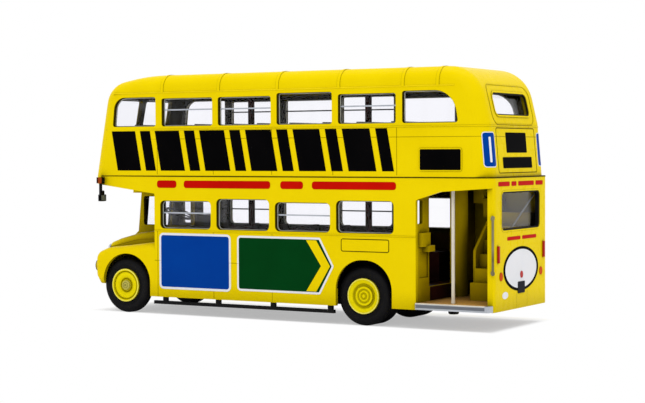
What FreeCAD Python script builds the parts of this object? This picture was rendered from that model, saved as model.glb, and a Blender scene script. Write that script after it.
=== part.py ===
"""A 1:76 diecast model of a half-cab double decker bus with an open rear platform.

Millimetres.  +X is the front of the bus, +Y its nearside (the platform side), +Z up.
The origin is on the ground, on the centre line, half way along the bus.
Each sub-part becomes parts/NODE.step.
"""
import FreeCAD, Part
import math
import os
import re

import Sketcher
from FreeCAD import Placement, Rotation, Vector

# name, value, what it is
SIZES = (
    ("body_width", 32.1, "across both sides"),
    ("wall", 1.0, "thickness of the cast shells"),
    ("skirt_z", 4.5, "bottom edge of the lower body"),
    ("deck_z", 34.1, "joint between the lower and upper castings"),
    ("roof_z", 58.8, "roof, without its beads"),
    ("nose_length", 19.9, "bulkhead to the foremost point of the wing"),
    ("bay_pitch", 16.57, "one window bay"),
    ("bay_count", 4, "full bays between the bulkhead and the platform"),
    ("saloon_tail", 5.67, "panel behind the last bay, ahead of the platform"),
    ("platform_length", 18.45, "platform opening to the rear face"),
    ("wheelbase", 67.5, "front axle to rear axle"),
    ("front_overhang", 9.9, "front axle to the foremost point"),
    ("tyre_radius", 6.8, "which is also the height of both axles"),
    ("rim_radius", 4.1, "wheel disc inside the tyre"),
    ("tyre_width", 3.3, "one tyre"),
    ("tyre_shoulder", 0.9, "rounding of a tyre's shoulder"),
    ("wheel_inset", 1.15, "outer face of the front wheels inside the body's face"),
    ("rear_face_inset", 0.6, "rear wheels stand this much further in"),
    ("axle_radius", 0.8, "steel axle"),
    ("axle_play", 0.06, "radial clearance of an axle in its bearing"),
    ("tail_corner", 2.6, "plan radius of the lower body's rear corners"),
    ("corner_post", 1.4, "rear corner post inside the nearside face"),
    ("roof_edge", 3.6, "radius of the upper body's corners and roof edges"),
    ("rear_step", 0.55, "upper rear face ahead of the lower one, at the joint"),
    ("rear_sill_inset", 1.6, "upper rear face ahead of the tail, at the sill"),
    ("rear_top_inset", 4.6, "the same face carried up to roof height"),
    ("rear_dome", 8.9, "radius of the dome in side view"),
    ("front_step", 0.55, "upper front face behind the nose, at the joint"),
    ("front_sill_inset", 2.75, "the same at the window sill"),
    ("front_brow_inset", 4.7, "the same at the brow"),
    ("brow_drop", 2.1, "brow below the roof"),
    ("front_dome", 6.2, "radius of the brow in side view"),
    ("roof_fall_start", 16.15, "where the roof starts to fall, behind the nose"),
    ("roof_fall_radius", 58.0, "radius of that fall"),
    ("bead", 0.1, "height of the beads across the roof"),
    ("bead_width", 0.7, "their width"),
    ("bead_foot_z", 54.4, "their lower ends"),
    ("upper_sill_z", 46.2, "bottom of the upper windows"),
    ("upper_window", 6.8, "height of an opening upper window"),
    ("upper_margin", 2.33, "bulkhead to the first upper window"),
    ("upper_quarter", 7.2, "height of the upper quarter windows"),
    ("lower_sill_z", 21.25, "bottom of the lower windows"),
    ("lower_window", 6.85, "height of an opening lower window"),
    ("lower_margin", 1.75, "bulkhead to the first lower window"),
    ("window_width", 14.95, "one window, the rest of the bay is pillar"),
    ("fixed_extra", 0.6, "a fixed window is this much taller"),
    ("upper_round", 0.6, "corner radius of the upper windows"),
    ("lower_round", 1.2, "corner radius of the lower windows"),
    ("front_quarter_nose", 7.25, "front quarter window behind the nose"),
    ("rear_quarter_tail", 7.95, "rear quarter window ahead of the tail"),
    ("front_pane_inner", 0.8, "front upper windows from the centre line"),
    ("front_pane_outer", 11.9, "their outer edge"),
    ("exit_window", 18.4, "upper rear window's width"),
    ("exit_sill_z", 47.9, "its bottom"),
    ("exit_height", 4.9, "its height"),
    ("rear_window", 21.2, "lower rear window's width"),
    ("rear_sill_z", 22.3, "its bottom"),
    ("rear_height", 8.55, "its height"),
    ("entrance_front_drop", 5.1, "top of the platform opening below the joint, at its front edge"),
    ("entrance_mid_drop", 3.2, "a third of the way back"),
    ("entrance_rear_drop", 2.3, "at the rear corner"),
    ("front_arch", 8.2, "radius of the room round the front wheels"),
    ("front_arch_back", 0.6, "centre of that room behind the axle"),
    ("wing_arch_half", 7.25, "half width of the near wing's arch"),
    ("wing_arch_back", 1.3, "its middle behind the axle"),
    ("wing_arch_z", 14.8, "its top"),
    ("wing_arch_round", 7.1, "its upper corner radius"),
    ("rear_arch_half", 7.3, "half width of the rear wheel arches"),
    ("rear_arch_back", 1.1, "arch centre behind the axle"),
    ("rear_arch_z", 15.2, "top of the rear arches"),
    ("rear_arch_round", 6.9, "their upper corner radius"),
    ("canopy_drop", 4.7, "top of the cab walls below the joint"),
    ("slope_low_drop", 4.35, "canopy underside below the joint, at the bulkhead"),
    ("slope_high_drop", 1.65, "canopy underside below the joint, at the front"),
    ("cab_side_y", 1.0, "near wall of the cab, beyond the centre line"),
    ("cab_floor_z", 16.4, "cab floor, above the front wheel"),
    ("cab_nose_inset", 0.75, "cab front panel behind the nose"),
    ("screen_foot_z", 19.5, "foot of the windscreen"),
    ("screen_foot_inset", 2.2, "windscreen foot behind the nose"),
    ("screen_head_inset", 3.2, "windscreen head behind the nose"),
    ("cab_corner", 3.4, "offside front corner of the cab"),
    ("light_margin", 1.3, "cab side windows ahead of the bulkhead"),
    ("screen_post_y", 0.3, "post between the bulkhead windows, beyond the centre line"),
    ("screen_post", 3.1, "its width"),
    ("driver_back_rise", 7.4, "top of the driver's seat above the cab floor"),
    ("wheel_rise", 6.7, "steering wheel above the cab floor"),
    ("wheel_radius", 3.4, "steering wheel"),
    ("wing_inner_y", 9.7, "inner side of the near wing"),
    ("wing_top_z", 17.9, "near wing at the bulkhead"),
    ("wing_nose_inset", 1.0, "near wing behind the nose"),
    ("wing_skin", 1.0, "its outer skin over the wheel"),
    ("bonnet_top_z", 20.9, "bonnet at the bulkhead"),
    ("bonnet_nose_z", 16.9, "bonnet above the radiator"),
    ("bonnet_low_z", 8.7, "underside of the bonnet, above the axle"),
    ("grille_depth", 0.55, "radiator grille ahead of the bonnet"),
    ("grille_slots", 9, "upright slots in the grille"),
    ("chassis_z", 4.7, "underside of the base plate"),
    ("chassis_plate", 1.0, "its thickness"),
    ("chassis_gap", 0.15, "base plate inside the skirt"),
    ("tongue_half", 8.6, "half width of the base plate ahead of the bulkhead"),
    ("bearing", 2.0, "length of an axle bearing"),
    ("twin_gap", 0.4, "between the two rear tyres of a side"),
    ("wheel_room", 0.6, "rear wheels to the floor and wheel boxes"),
    ("tank_front", 20.0, "fuel tank's front ahead of the rear axle"),
    ("tank_length", 8.0, "its length"),
    ("tank_y", 6.5, "its inner side beyond the centre line"),
    ("tank_width", 5.5, "its width"),
    ("tank_depth", 2.2, "its depth below the base plate"),
    ("silencer_front", 18.0, "silencer's front behind the front axle"),
    ("silencer_length", 12.0, "its length"),
    ("silencer_y", 5.0, "its inner side from the centre line"),
    ("silencer_width", 4.0, "its width"),
    ("silencer_depth", 0.7, "its depth below the base plate"),
    ("rail_low_z", 2.6, "underside of the life rails"),
    ("rail_bar", 0.8, "life rail bars"),
    ("screw_reach", 21.0, "plinth screws inwards of both axles"),
    ("screw_radius", 0.8, "pilot holes for them"),
    ("boss_radius", 1.9, "their bosses"),
    ("boss_height", 2.4, "bosses above the base plate"),
    ("saloon_floor_z", 9.2, "top of the lower saloon floor"),
    ("floor_plate", 0.9, "thickness of both saloon floors"),
    ("platform_z", 6.0, "top of the platform"),
    ("platform_plate", 0.8, "thickness of the platform"),
    ("edge_drop", 1.4, "height of the platform's metal edge"),
    ("edge_width", 0.5, "its width"),
    ("floor_gap", 0.1, "a plate to the walls and castings around it"),
    ("partition", 0.8, "wall between the saloon and the platform"),
    ("door_near_y", 9.4, "nearside edge of the doorway in it"),
    ("door_off_y", 3.0, "offside edge, beyond the centre line"),
    ("door_head_drop", 2.7, "top of that doorway below the joint"),
    ("door_post", 2.6, "rounded post at its offside edge"),
    ("slit_width", 2.4, "slit window beside the nearside wall"),
    ("slit_z", 23.6, "bottom of the slit window"),
    ("slit_height", 5.3, "its height"),
    ("stair_width", 9.0, "flight along the rear wall"),
    ("stair_start_y", 4.2, "front of the first step"),
    ("stair_run", 2.5, "one step front to back"),
    ("stair_first", 4.0, "height of the first step"),
    ("stair_steps", 8, "steps after the first, up to the upper floor"),
    ("stair_tread", 4.2, "thickness of a step"),
    ("panel", 0.6, "thickness of the stair panels"),
    ("stair_panel_rise", 8.9, "foot of the panel's slanted edge to its head"),
    ("guard_height", 7.0, "panels round the stair head"),
    ("well_head_y", 2.0, "stair head beyond the centre line"),
    ("handrail_low", 13.1, "foot of the rear corner's handrail"),
    ("handrail_high", 25.3, "its top"),
    ("tail_lamp_y", 12.6, "rear lamps from the centre line"),
    ("tail_lamp_low", 15.3, "foot of the rear lamps"),
    ("tail_lamp_high", 19.0, "their top"),
    ("tail_lamp_depth", 0.4, "how far they stand out"),
    ("tail_lamp_width", 0.7, "across one"),
    ("lamp_radius", 1.7, "headlamps"),
    ("lamp_rise", 4.6, "headlamps above the axle"),
    ("ear_out", 1.5, "indicators beyond the sides"),
    ("ear_head", 0.4, "top of the indicators below the joint"),
    ("ear_foot", 1.9, "their underside below the joint"),
    ("ear_front", 3.2, "their front behind the nose"),
    ("ear_length", 1.4, "their length"),
    ("ear_root", 0.9, "how far they reach into the corner"),
    ("mirror_foot_z", 27.7, "lower end of the mirrors"),
    ("mirror_height", 2.7, "mirror head"),
    ("mirror_width", 1.5, "mirror head"),
    ("glazing", 0.5, "thickness of the clear mouldings"),
    ("glazing_gap", 0.1, "glazing to the inside of the wall"),
    ("lower_back_rise", 12.4, "top of a lower seat back above its floor"),
    ("upper_back_rise", 11.7, "top of an upper seat back above its floor"),
    ("seat_rise", 5.4, "top of a cushion above its floor"),
    ("seat_depth", 4.6, "cushion front to back"),
    ("seat_back", 1.1, "thickness of a seat back"),
    ("aisle", 6.4, "between the seats"),
    ("seat_pitch", 9.0, "one row of seats to the next"),
    ("pole_radius", 0.4, "platform pole"),
    ("pole_inset", 3.25, "pole inside the nearside face"),
    ("pole_tail", 10.75, "pole ahead of the rear face"),
)
NAMES = {name for name, *_ in SIZES}

# Places worked out from the sizes, as expressions.
LENGTH = "(nose_length + bay_pitch * bay_count + saloon_tail + platform_length)"
NOSE = f"({LENGTH} / 2)"
TAIL = f"(-{LENGTH} / 2)"
BULKHEAD = f"({NOSE} - nose_length)"
ENTRANCE = f"({TAIL} + platform_length)"
FRONT_AXLE = f"({NOSE} - front_overhang)"
REAR_AXLE = f"({FRONT_AXLE} - wheelbase)"
SIDE = "(body_width / 2)"
INSIDE = f"({SIDE} - wall)"
CEILING = "(deck_z - wall)"
PLATE_TOP = "(chassis_z + chassis_plate)"
PANE_OUT = f"({INSIDE} - glazing_gap)"
PANE_IN = f"({PANE_OUT} - glazing)"
LINING = f"({PANE_IN} - glazing_gap)"
UPPER_FLOOR = "(deck_z + floor_plate)"
WHEEL_FACE = f"({SIDE} - wheel_inset)"
REAR_WHEEL_INNER = f"({WHEEL_FACE} - rear_face_inset - 2 * tyre_width - twin_gap)"
REAR_ARCH = f"({REAR_AXLE} - rear_arch_back)"
CANOPY = "(deck_z - canopy_drop)"
WHEEL_BOX_REAR = f"({REAR_ARCH} - rear_arch_half - floor_gap)"
WHEEL_BOX_FRONT = f"({REAR_AXLE} + tyre_radius + wheel_room)"
WHEEL_BOX_INNER = f"({REAR_WHEEL_INNER} - wheel_room)"
SCREW_FRONT = f"({FRONT_AXLE} - screw_reach)"
SCREW_REAR = f"({REAR_AXLE} + screw_reach)"
STAIR_REAR = f"({TAIL} + wall + 2 * glazing_gap + glazing)"
STAIR_FRONT = f"({STAIR_REAR} + stair_width)"
STAIR_RISE = f"(({UPPER_FLOOR} - platform_z - stair_first) / stair_steps)"
STAIR_TURN = "(stair_start_y - 5 * stair_run)"
WELL_FRONT = f"({STAIR_FRONT} + 3 * stair_run)"

doc = FreeCAD.newDocument("bus")
sheet = doc.addObject("Spreadsheet::Sheet", "Sizes")
NODES = []


def fill_sheet():
    """One row for each driving size: name, value and note."""
    for row, (name, number, note) in enumerate(SIZES, start=1):
        sheet.set(f"A{row}", name)
        sheet.set(f"B{row}", str(number))
        sheet.set(f"C{row}", note)
        sheet.setAlias(f"B{row}", name)
    doc.recompute()


def cell(text):
    """The expression with each size's name pointing at its cell."""
    return re.sub(r"\b[a-z]\w*", lambda word: f"Sizes.{word[0]}" if word[0] in NAMES else word[0], str(text))


def value(text):
    """What an expression comes to, in millimetres."""
    return float(sheet.evalExpression(cell(text)))


def node(item, label):
    """Keep an object as the sub-part of that name."""
    item.Label = label
    NODES.append(item)
    return item


# ---------------------------------------------------------------- primitives

def place(item, x="0", y="0", z="0"):
    """Bind an object's position."""
    for axis, text in zip("xyz", (x, y, z)):
        item.setExpression(f"Placement.Base.{axis}", cell(text))
    return item


def box(name, x, y, z):
    """A block between two expressions along each axis."""
    item = doc.addObject("Part::Box", name)
    for prop, (low, high) in zip(("Length", "Width", "Height"), (x, y, z)):
        item.setExpression(prop, cell(f"({high}) - ({low})"))
    return place(item, x[0], y[0], z[0])


AIM = {"X": Rotation(Vector(0, 1, 0), 90), "Y": Rotation(Vector(1, 0, 0), -90), "Z": Rotation()}


def rod(name, aim, start, radius, length):
    """A cylinder from start along +X, +Y or +Z."""
    item = doc.addObject("Part::Cylinder", name)
    item.setExpression("Radius", cell(radius))
    item.setExpression("Height", cell(length))
    item.Placement = Placement(Vector(), AIM[aim])
    return place(item, *start)


def ball(name, centre, radius):
    """A sphere."""
    item = doc.addObject("Part::Sphere", name)
    item.setExpression("Radius", cell(radius))
    return place(item, *centre)


def fuse(name, shapes):
    """Several objects as one solid."""
    item = doc.addObject("Part::MultiFuse", name)
    item.Shapes = shapes
    item.Refine = True
    return item


def group(name, shapes):
    """Several separate solids in one sub-part."""
    item = doc.addObject("Part::Compound", name)
    item.Links = shapes
    return item


def common(name, shapes):
    """What is inside every one of the objects."""
    item = doc.addObject("Part::MultiCommon", name)
    item.Shapes = shapes
    return item


def cut(name, base, tools):
    """Base less the tools."""
    item = doc.addObject("Part::Cut", name)
    item.Base = base
    item.Tool = tools[0] if len(tools) == 1 else fuse(f"{name}_tools", tools)
    return item


# ---------------------------------------------------------- sketches and bodies

PLANES = {"XY": ("XY_Plane", 1), "XZ": ("XZ_Plane", -1), "YZ": ("YZ_Plane", 1)}


def add_outline(sketch, corners):
    """A closed outline through corners (across, up, radius), each one an expression.

    A corner with a radius is the meeting point of its two sides, which an arc then rounds.
    """
    points = [Vector(value(across), value(up), 0) for across, up, _ in corners]
    count = len(points)
    starts, ends, arcs = [], [], []
    for index, (point, (_, _, rounding)) in enumerate(zip(points, corners)):
        radius = value(rounding)
        back = (points[index - 1] - point).normalize()
        ahead = (points[(index + 1) % count] - point).normalize()
        half = back.getAngle(ahead) / 2
        reach = radius / math.tan(half)
        starts.append(point + back * reach)
        ends.append(point + ahead * reach)
        arcs.append((point + (back + ahead).normalize() * (radius / math.sin(half)), radius))
    sides = [sketch.addGeometry(Part.LineSegment(ends[i], starts[(i + 1) % count])) for i in range(count)]
    for index, (across, up, rounding) in enumerate(corners):
        before, after = sides[index - 1], sides[index]
        centre, radius = arcs[index]
        if radius:
            spot = round_corner(sketch, before, after, starts[index], ends[index], centre, rounding)
            held = (sketch.addGeometry(Part.Point(points[index]), True), 1)
            for side in (before, after):
                sketch.addConstraint(Sketcher.Constraint("PointOnObject", *held, side))
            sketch.setExpression(f"Constraints[{spot}]", cell(rounding))
        else:
            sketch.addConstraint(Sketcher.Constraint("Coincident", before, 2, after, 1))
            held = (after, 1)
        for kind, text in (("DistanceX", across), ("DistanceY", up)):
            spot = sketch.addConstraint(Sketcher.Constraint(kind, -1, 1, *held, value(text)))
            sketch.setExpression(f"Constraints[{spot}]", cell(text))


def round_corner(sketch, before, after, start, end, centre, rounding):
    """The arc between two sides; the number of its radius constraint is returned."""
    first, last = start - centre, end - centre
    angles = [math.atan2(spoke.y, spoke.x) for spoke in (first, last)]
    leftward = first.x * last.y > first.y * last.x
    if not leftward:
        angles.reverse()
    radius = value(rounding)
    arc = sketch.addGeometry(Part.ArcOfCircle(Part.Circle(centre, Vector(0, 0, 1), radius), *angles))
    tail, head = (1, 2) if leftward else (2, 1)
    sketch.addConstraint(Sketcher.Constraint("Tangent", before, 2, arc, tail))
    sketch.addConstraint(Sketcher.Constraint("Tangent", arc, head, after, 1))
    return sketch.addConstraint(Sketcher.Constraint("Radius", arc, radius))


def add_sketch(body, name, plane, outlines, level):
    """A sketch of closed outlines on one of the body's own planes, moved to level along its axis."""
    role, sense = PLANES[plane]
    sketch = body.newObject("Sketcher::SketchObject", name)
    sketch.AttachmentSupport = [(next(item for item in body.Origin.OriginFeatures if item.Role == role), "")]
    sketch.MapMode = "FlatFace"
    sketch.setExpression("AttachmentOffset.Base.z", cell(f"{sense} * ({level})"))
    for corners in outlines:
        add_outline(sketch, corners)
    return sketch


def pad(body, name, plane, outlines, low, high):
    """Add what lies between low and high along the plane's axis."""
    start = low if PLANES[plane][1] > 0 else high
    feature = body.newObject("PartDesign::Pad", name)
    feature.Profile = add_sketch(body, f"{name}_sketch", plane, outlines, start)
    feature.setExpression("Length", cell(f"({high}) - ({low})"))
    doc.recompute()
    return feature


def pocket(body, name, plane, outlines, low, high):
    """Take away what lies inside each outline between low and high along the plane's axis."""
    start = high if PLANES[plane][1] > 0 else low
    for index, corners in enumerate(outlines):
        before = body.Shape.Volume
        feature = body.newObject("PartDesign::Pocket", f"{name}_{index}")
        feature.Profile = add_sketch(body, f"{name}_sketch_{index}", plane, [corners], start)
        feature.setExpression("Length", cell(f"({high}) - ({low})"))
        doc.recompute()
        if not body.Shape.Volume < before:
            raise RuntimeError(f"{name} {index} takes nothing away")
    return feature


def fillet(body, name, radius, chosen):
    """Round the edges for which chosen(edge) is true."""
    tip = body.Tip
    edges = [f"Edge{number}" for number, edge in enumerate(tip.Shape.Edges, start=1) if chosen(edge)]
    feature = body.newObject("PartDesign::Fillet", name)
    feature.Base = (tip, edges)
    feature.setExpression("Radius", cell(radius))
    doc.recompute()
    return feature


def hollow(body, room):
    """Take another body away from this one."""
    feature = body.newObject("PartDesign::Boolean", f"{body.Name}_hollow")
    feature.Type = "Cut"
    feature.setObjects([room])
    doc.recompute()
    return feature


def new_body(name):
    return doc.addObject("PartDesign::Body", name)


def prism(name, plane, corners, low, high):
    """A body that is one padded outline."""
    body = new_body(name)
    pad(body, f"{name}_pad", plane, [corners], low, high)
    return body


def pane(front, rear, low, high, rounding):
    """A rectangle with rounded corners."""
    return [(rear, low, rounding), (front, low, rounding), (front, high, rounding), (rear, high, rounding)]


# -------------------------------------------------------------------- bodywork

def bay_front(margin, bay):
    """Front edge of the window in a bay, counted back from the bulkhead."""
    return f"({BULKHEAD} - {margin} - bay_pitch * {bay})"


def upper_block(name, inset):
    """The upper deck as a solid, inset on every face but its foot: leaning ends and domed roof."""
    body = new_body(name)
    roof = f"roof_z - {inset}"
    profile = [
        (f"{TAIL} + rear_step + {inset}", f"deck_z - {inset}", "0"),
        (f"{TAIL} + rear_sill_inset + {inset}", "upper_sill_z", "0"),
        (f"{TAIL} + rear_top_inset + {inset}", roof, f"rear_dome - {inset}"),
        (f"{NOSE} - roof_fall_start", roof, "roof_fall_radius"),
        (f"{NOSE} - front_brow_inset - {inset}", f"{roof} - brow_drop", f"front_dome - {inset}"),
        (f"{NOSE} - front_sill_inset - {inset}", "upper_sill_z", "0"),
        (f"{NOSE} - front_step - {inset}", f"deck_z - {inset}", "0"),
    ]
    pad(body, f"{name}_block", "XZ", [profile], f"-{SIDE} + {inset}", f"{SIDE} - {inset}")
    side = value(f"{SIDE} - {inset}")
    foot = value(f"deck_z - {inset}") + 1e-6
    fillet(
        body, f"{name}_edges", f"roof_edge - {inset}",
        lambda edge: abs(abs(edge.BoundBox.YMin) - side) < 1e-6 and edge.BoundBox.YLength < 1e-6
        and any(end.Z > foot for end in edge.Vertexes),
    )
    return body


def make_upper_body():
    """Upper deck shell with windows on both sides and both ends."""
    body = upper_block("upper_casting", "0")
    hollow(body, upper_block("upper_room", "wall"))
    sill = "upper_sill_z"
    windows = []
    for bay in range(int(value("bay_count"))):
        front = bay_front("upper_margin", bay)
        extra = "fixed_extra" if bay == 2 else "0"
        windows.append(pane(front, f"{front} - window_width", sill, f"{sill} + upper_window + {extra}", "upper_round"))
    pillar = "(bay_pitch - window_width)"
    quarter_top = f"{sill} + upper_quarter"
    quarter_front = f"({NOSE} - front_quarter_nose)"
    quarter_rear = f"({TAIL} + rear_quarter_tail)"
    windows.append([
        (f"{bay_front('upper_margin', 0)} + {pillar} + 0.2", sill, "upper_round"),
        (quarter_front, sill, "upper_round"),
        (f"{quarter_front} - 0.7", quarter_top, "3.2"),
        (f"{bay_front('upper_margin', 0)} + {pillar} + 0.2", quarter_top, "upper_round"),
    ])
    windows.append([
        (quarter_rear, sill, "upper_round"),
        (bay_front("upper_margin", "bay_count"), sill, "upper_round"),
        (bay_front("upper_margin", "bay_count"), quarter_top, "upper_round"),
        (f"{quarter_rear} + 1.1", quarter_top, "5.5"),
    ])
    pocket(body, "upper_windows", "XZ", windows, f"-{SIDE} - wall", f"{SIDE} + wall")
    front_panes = [
        pane(f"{side} * front_pane_outer", f"{side} * front_pane_inner", sill, quarter_top, "upper_round * 2")
        for side in (1, -1)
    ]
    pocket(body, "front_windows", "YZ", front_panes, f"{NOSE} - roof_fall_start", NOSE)
    exit_pane = pane("exit_window / 2", "-exit_window / 2", "exit_sill_z", "exit_sill_z + exit_height", "lower_round")
    pocket(body, "exit_window", "YZ", [exit_pane], TAIL, f"{TAIL} + rear_dome")
    return node(fuse("upper_shell", [body, make_roof_beads()]), "upper_body")


def make_roof_beads():
    """Low ribs over the roof, one behind each pillar and one by the stair head."""
    places = [f"{bay_front('upper_margin', bay)} - 0.2" for bay in range(5)]
    places.append(f"{TAIL} + 0.7 * platform_length")
    slabs = [
        box(f"bead_slab_{index}", (f"{x} - bead_width / 2", f"{x} + bead_width / 2"),
            (f"-{SIDE} - wall", f"{SIDE} + wall"), ("bead_foot_z", "roof_z + wall"))
        for index, x in enumerate(places)
    ]
    ribs = common("bead_ribs", [upper_block("bead_skin", "(0 - bead)"), fuse("bead_slabs", slabs)])
    return cut("roof_beads", ribs, [upper_block("bead_core", "0")])


def lower_plan(inset):
    """Outline of the lower saloon seen from above."""
    return [
        (f"{TAIL} + {inset}", f"-{SIDE} + {inset}", f"tail_corner - {inset}"),
        (f"{BULKHEAD} - {inset}", f"-{SIDE} + {inset}", "0"),
        (f"{BULKHEAD} - {inset}", f"{SIDE} - {inset}", "0"),
        (f"{TAIL} + {inset}", f"{SIDE} - {inset}", f"tail_corner - {inset}"),
    ]


def make_lower_body():
    """Lower saloon: four bays a side, wheel arches, rear window and the open platform corner."""
    body = new_body("lower_body")
    pad(body, "lower_block", "XY", [lower_plan("0")], "skirt_z", "deck_z")
    pocket(body, "lower_room", "XY", [lower_plan("wall")], "skirt_z - wall", CEILING)
    sill = "lower_sill_z"
    cuts = []
    for bay in range(int(value("bay_count"))):
        front = bay_front("lower_margin", bay)
        extra = "fixed_extra" if bay % 2 else "0"
        cuts.append(pane(front, f"{front} - window_width", sill, f"{sill} + lower_window + {extra}", "lower_round"))
    pocket(body, "lower_windows", "XZ", cuts, f"-{SIDE} - wall", f"{SIDE} + wall")
    arches = [
        (f"{REAR_ARCH} - rear_arch_half", "skirt_z - wall", "0"),
        (f"{REAR_ARCH} + rear_arch_half", "skirt_z - wall", "0"),
        (f"{REAR_ARCH} + rear_arch_half", "rear_arch_z", "rear_arch_round"),
        (f"{REAR_ARCH} - rear_arch_half", "rear_arch_z", "rear_arch_round"),
    ]
    pocket(body, "rear_arches", "XZ", [arches], f"-{SIDE} - wall", f"{SIDE} + wall")
    entrance = [
        (f"{TAIL} - wall", "skirt_z - wall", "0"),
        (ENTRANCE, "skirt_z - wall", "0"),
        (ENTRANCE, "deck_z - entrance_front_drop", "0.6"),
        (f"{ENTRANCE} - platform_length / 3", "deck_z - entrance_mid_drop", "0"),
        (f"{TAIL} - wall", "deck_z - entrance_rear_drop", "0"),
    ]
    pocket(body, "entrance", "XZ", [entrance], f"{SIDE} - corner_post", f"{SIDE} + wall")
    rear = pane("rear_window / 2", "-rear_window / 2", "rear_sill_z", "rear_sill_z + rear_height", "lower_round")
    pocket(body, "rear_window_cut", "YZ", [rear], f"{TAIL} - wall", f"{TAIL} + 2 * wall")
    head = f"{sill} + lower_window + fixed_extra"
    screens = [
        pane("wing_inner_y + 3", "-screen_post_y", sill, head, "lower_round"),
        pane("-screen_post_y - screen_post", f"-{SIDE} + 4", sill, head, "lower_round"),
    ]
    pocket(body, "bulkhead_windows", "YZ", screens, f"{BULKHEAD} - 2 * wall", f"{BULKHEAD} + wall")
    pocket(body, "stair_well", "XY", [stair_well()], f"{CEILING} - wall", "deck_z + wall")
    slot = pane("tongue_half + floor_gap", "-tongue_half - floor_gap", "skirt_z - wall", f"{PLATE_TOP} + floor_gap", "0")
    pocket(body, "tongue_slot", "YZ", [slot], f"{BULKHEAD} - 2 * wall", f"{BULKHEAD} + wall")
    return node(body, "lower_body")


def stair_well():
    """Outline of the opening between the decks over the stairs."""
    rear = f"({TAIL} + wall + tail_corner)"
    return [
        (rear, f"-{INSIDE} + wall", "0"),
        (WELL_FRONT, f"-{INSIDE} + wall", "0"),
        (WELL_FRONT, STAIR_TURN, "0"),
        (STAIR_FRONT, STAIR_TURN, "0"),
        (STAIR_FRONT, "-well_head_y", "0"),
        (rear, "-well_head_y", "0"),
    ]


def make_canopy():
    """The band between the decks ahead of the bulkhead: cab roof, and canopy over the bonnet."""
    body = new_body("canopy")
    front = f"({NOSE} - front_step)"
    plan = [
        (BULKHEAD, f"-{SIDE}", "0"),
        (front, f"-{SIDE}", "roof_edge"),
        (front, SIDE, "roof_edge"),
        (BULKHEAD, SIDE, "0"),
    ]
    pad(body, "canopy_block", "XY", [plan], CANOPY, "deck_z")
    under = [
        (BULKHEAD, f"{CANOPY} - wall", "0"),
        (f"{NOSE} + wall", f"{CANOPY} - wall", "0"),
        (f"{NOSE} + wall", "deck_z - slope_high_drop", "0"),
        (BULKHEAD, "deck_z - slope_low_drop", "0"),
    ]
    pocket(body, "canopy_slope", "XZ", [under], "-cab_side_y", f"{SIDE} + wall")
    return node(body, "canopy")


def make_cab():
    """Driver's cab on the offside: solid over the front wheel, hollow above its floor."""
    body = new_body("cab")
    near = "(-cab_side_y)"
    far = f"(-{SIDE})"
    panel = f"({NOSE} - cab_nose_inset)"
    foot = f"({NOSE} - screen_foot_inset)"
    head = f"({NOSE} - screen_head_inset)"
    profile = [
        (BULKHEAD, "skirt_z", "0"),
        (f"{panel} - 1.2", "skirt_z", "0"),
        (panel, "skirt_z + 1.8", "1.0"),
        (panel, "screen_foot_z - 1.2", "1.2"),
        (foot, "screen_foot_z", "0"),
        (head, CANOPY, "0"),
        (BULKHEAD, CANOPY, "0"),
    ]
    pad(body, "cab_block", "XZ", [profile], far, near)
    edge_y = value(far)
    front_x = value(f"{head} - 1")
    fillet(
        body, "cab_corner_edge", "cab_corner",
        lambda edge: all(abs(end.Y - edge_y) < 1e-6 and end.X > front_x for end in edge.Vertexes)
        and edge.BoundBox.ZLength > 0.5,
    )
    hollow(body, cab_space("cab_room", "wall"))
    sill = "(screen_foot_z + 1.6)"
    top = f"({CANOPY} - 0.8)"
    screen = pane(f"{near} - wall - 0.3", f"{far} + wall + 1.4", "screen_foot_z + 0.6", top, "0.8")
    pocket(body, "windscreen", "YZ", [screen], f"{head} - 3 * wall", f"{NOSE} + wall")
    near_light = pane(f"{head} - 0.7", f"{BULKHEAD} + light_margin", sill, top, "0.6")
    pocket(body, "near_light", "XZ", [near_light], f"{near} - 2 * wall", f"{near} + wall")
    off_lights = [
        pane(f"{head} - 3.2", f"{head} - 6.0", sill, top, "0.6"),
        pane(f"{head} - 7.0", f"{BULKHEAD} + light_margin", sill, top, "0.6"),
    ]
    pocket(body, "off_lights", "XZ", [off_lights[0], off_lights[1]], f"{far} - wall", f"{far} + 2 * wall")
    under = [
        (f"{BULKHEAD} - wall", "skirt_z - wall", "0"),
        (f"{panel} - wall", "skirt_z - wall", "0"),
        (f"{panel} - wall", f"{PLATE_TOP} + floor_gap", "0"),
        (f"{BULKHEAD} - wall", f"{PLATE_TOP} + floor_gap", "0"),
    ]
    pocket(body, "cab_under", "XZ", [under], f"{far} + wall", f"{near} + wall")
    wheel_room(body, "cab_arch", far, near)
    return node(body, "cab")


def cab_space(name, inset):
    """Inside of the cab as a solid, inset from its front and its sides."""
    body = new_body(name)
    foot = f"{NOSE} - screen_foot_inset - {inset}"
    head = f"{NOSE} - screen_head_inset - {inset}"
    profile = [
        (BULKHEAD, "cab_floor_z", "0"),
        (f"{foot} - wall", "cab_floor_z", "0"),
        (foot, "screen_foot_z", "0"),
        (head, f"{CANOPY} + wall", "0"),
        (BULKHEAD, f"{CANOPY} + wall", "0"),
    ]
    pad(body, f"{name}_block", "XZ", [profile], f"-{SIDE} + {inset}", f"-cab_side_y - {inset}")
    side = value(f"-{SIDE} + {inset}")
    front = value(f"{foot} - 2 * wall")
    fillet(
        body, f"{name}_corner", f"cab_corner - {inset}",
        lambda edge: all(abs(end.Y - side) < 1e-6 and end.X > front for end in edge.Vertexes),
    )
    return body


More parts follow.
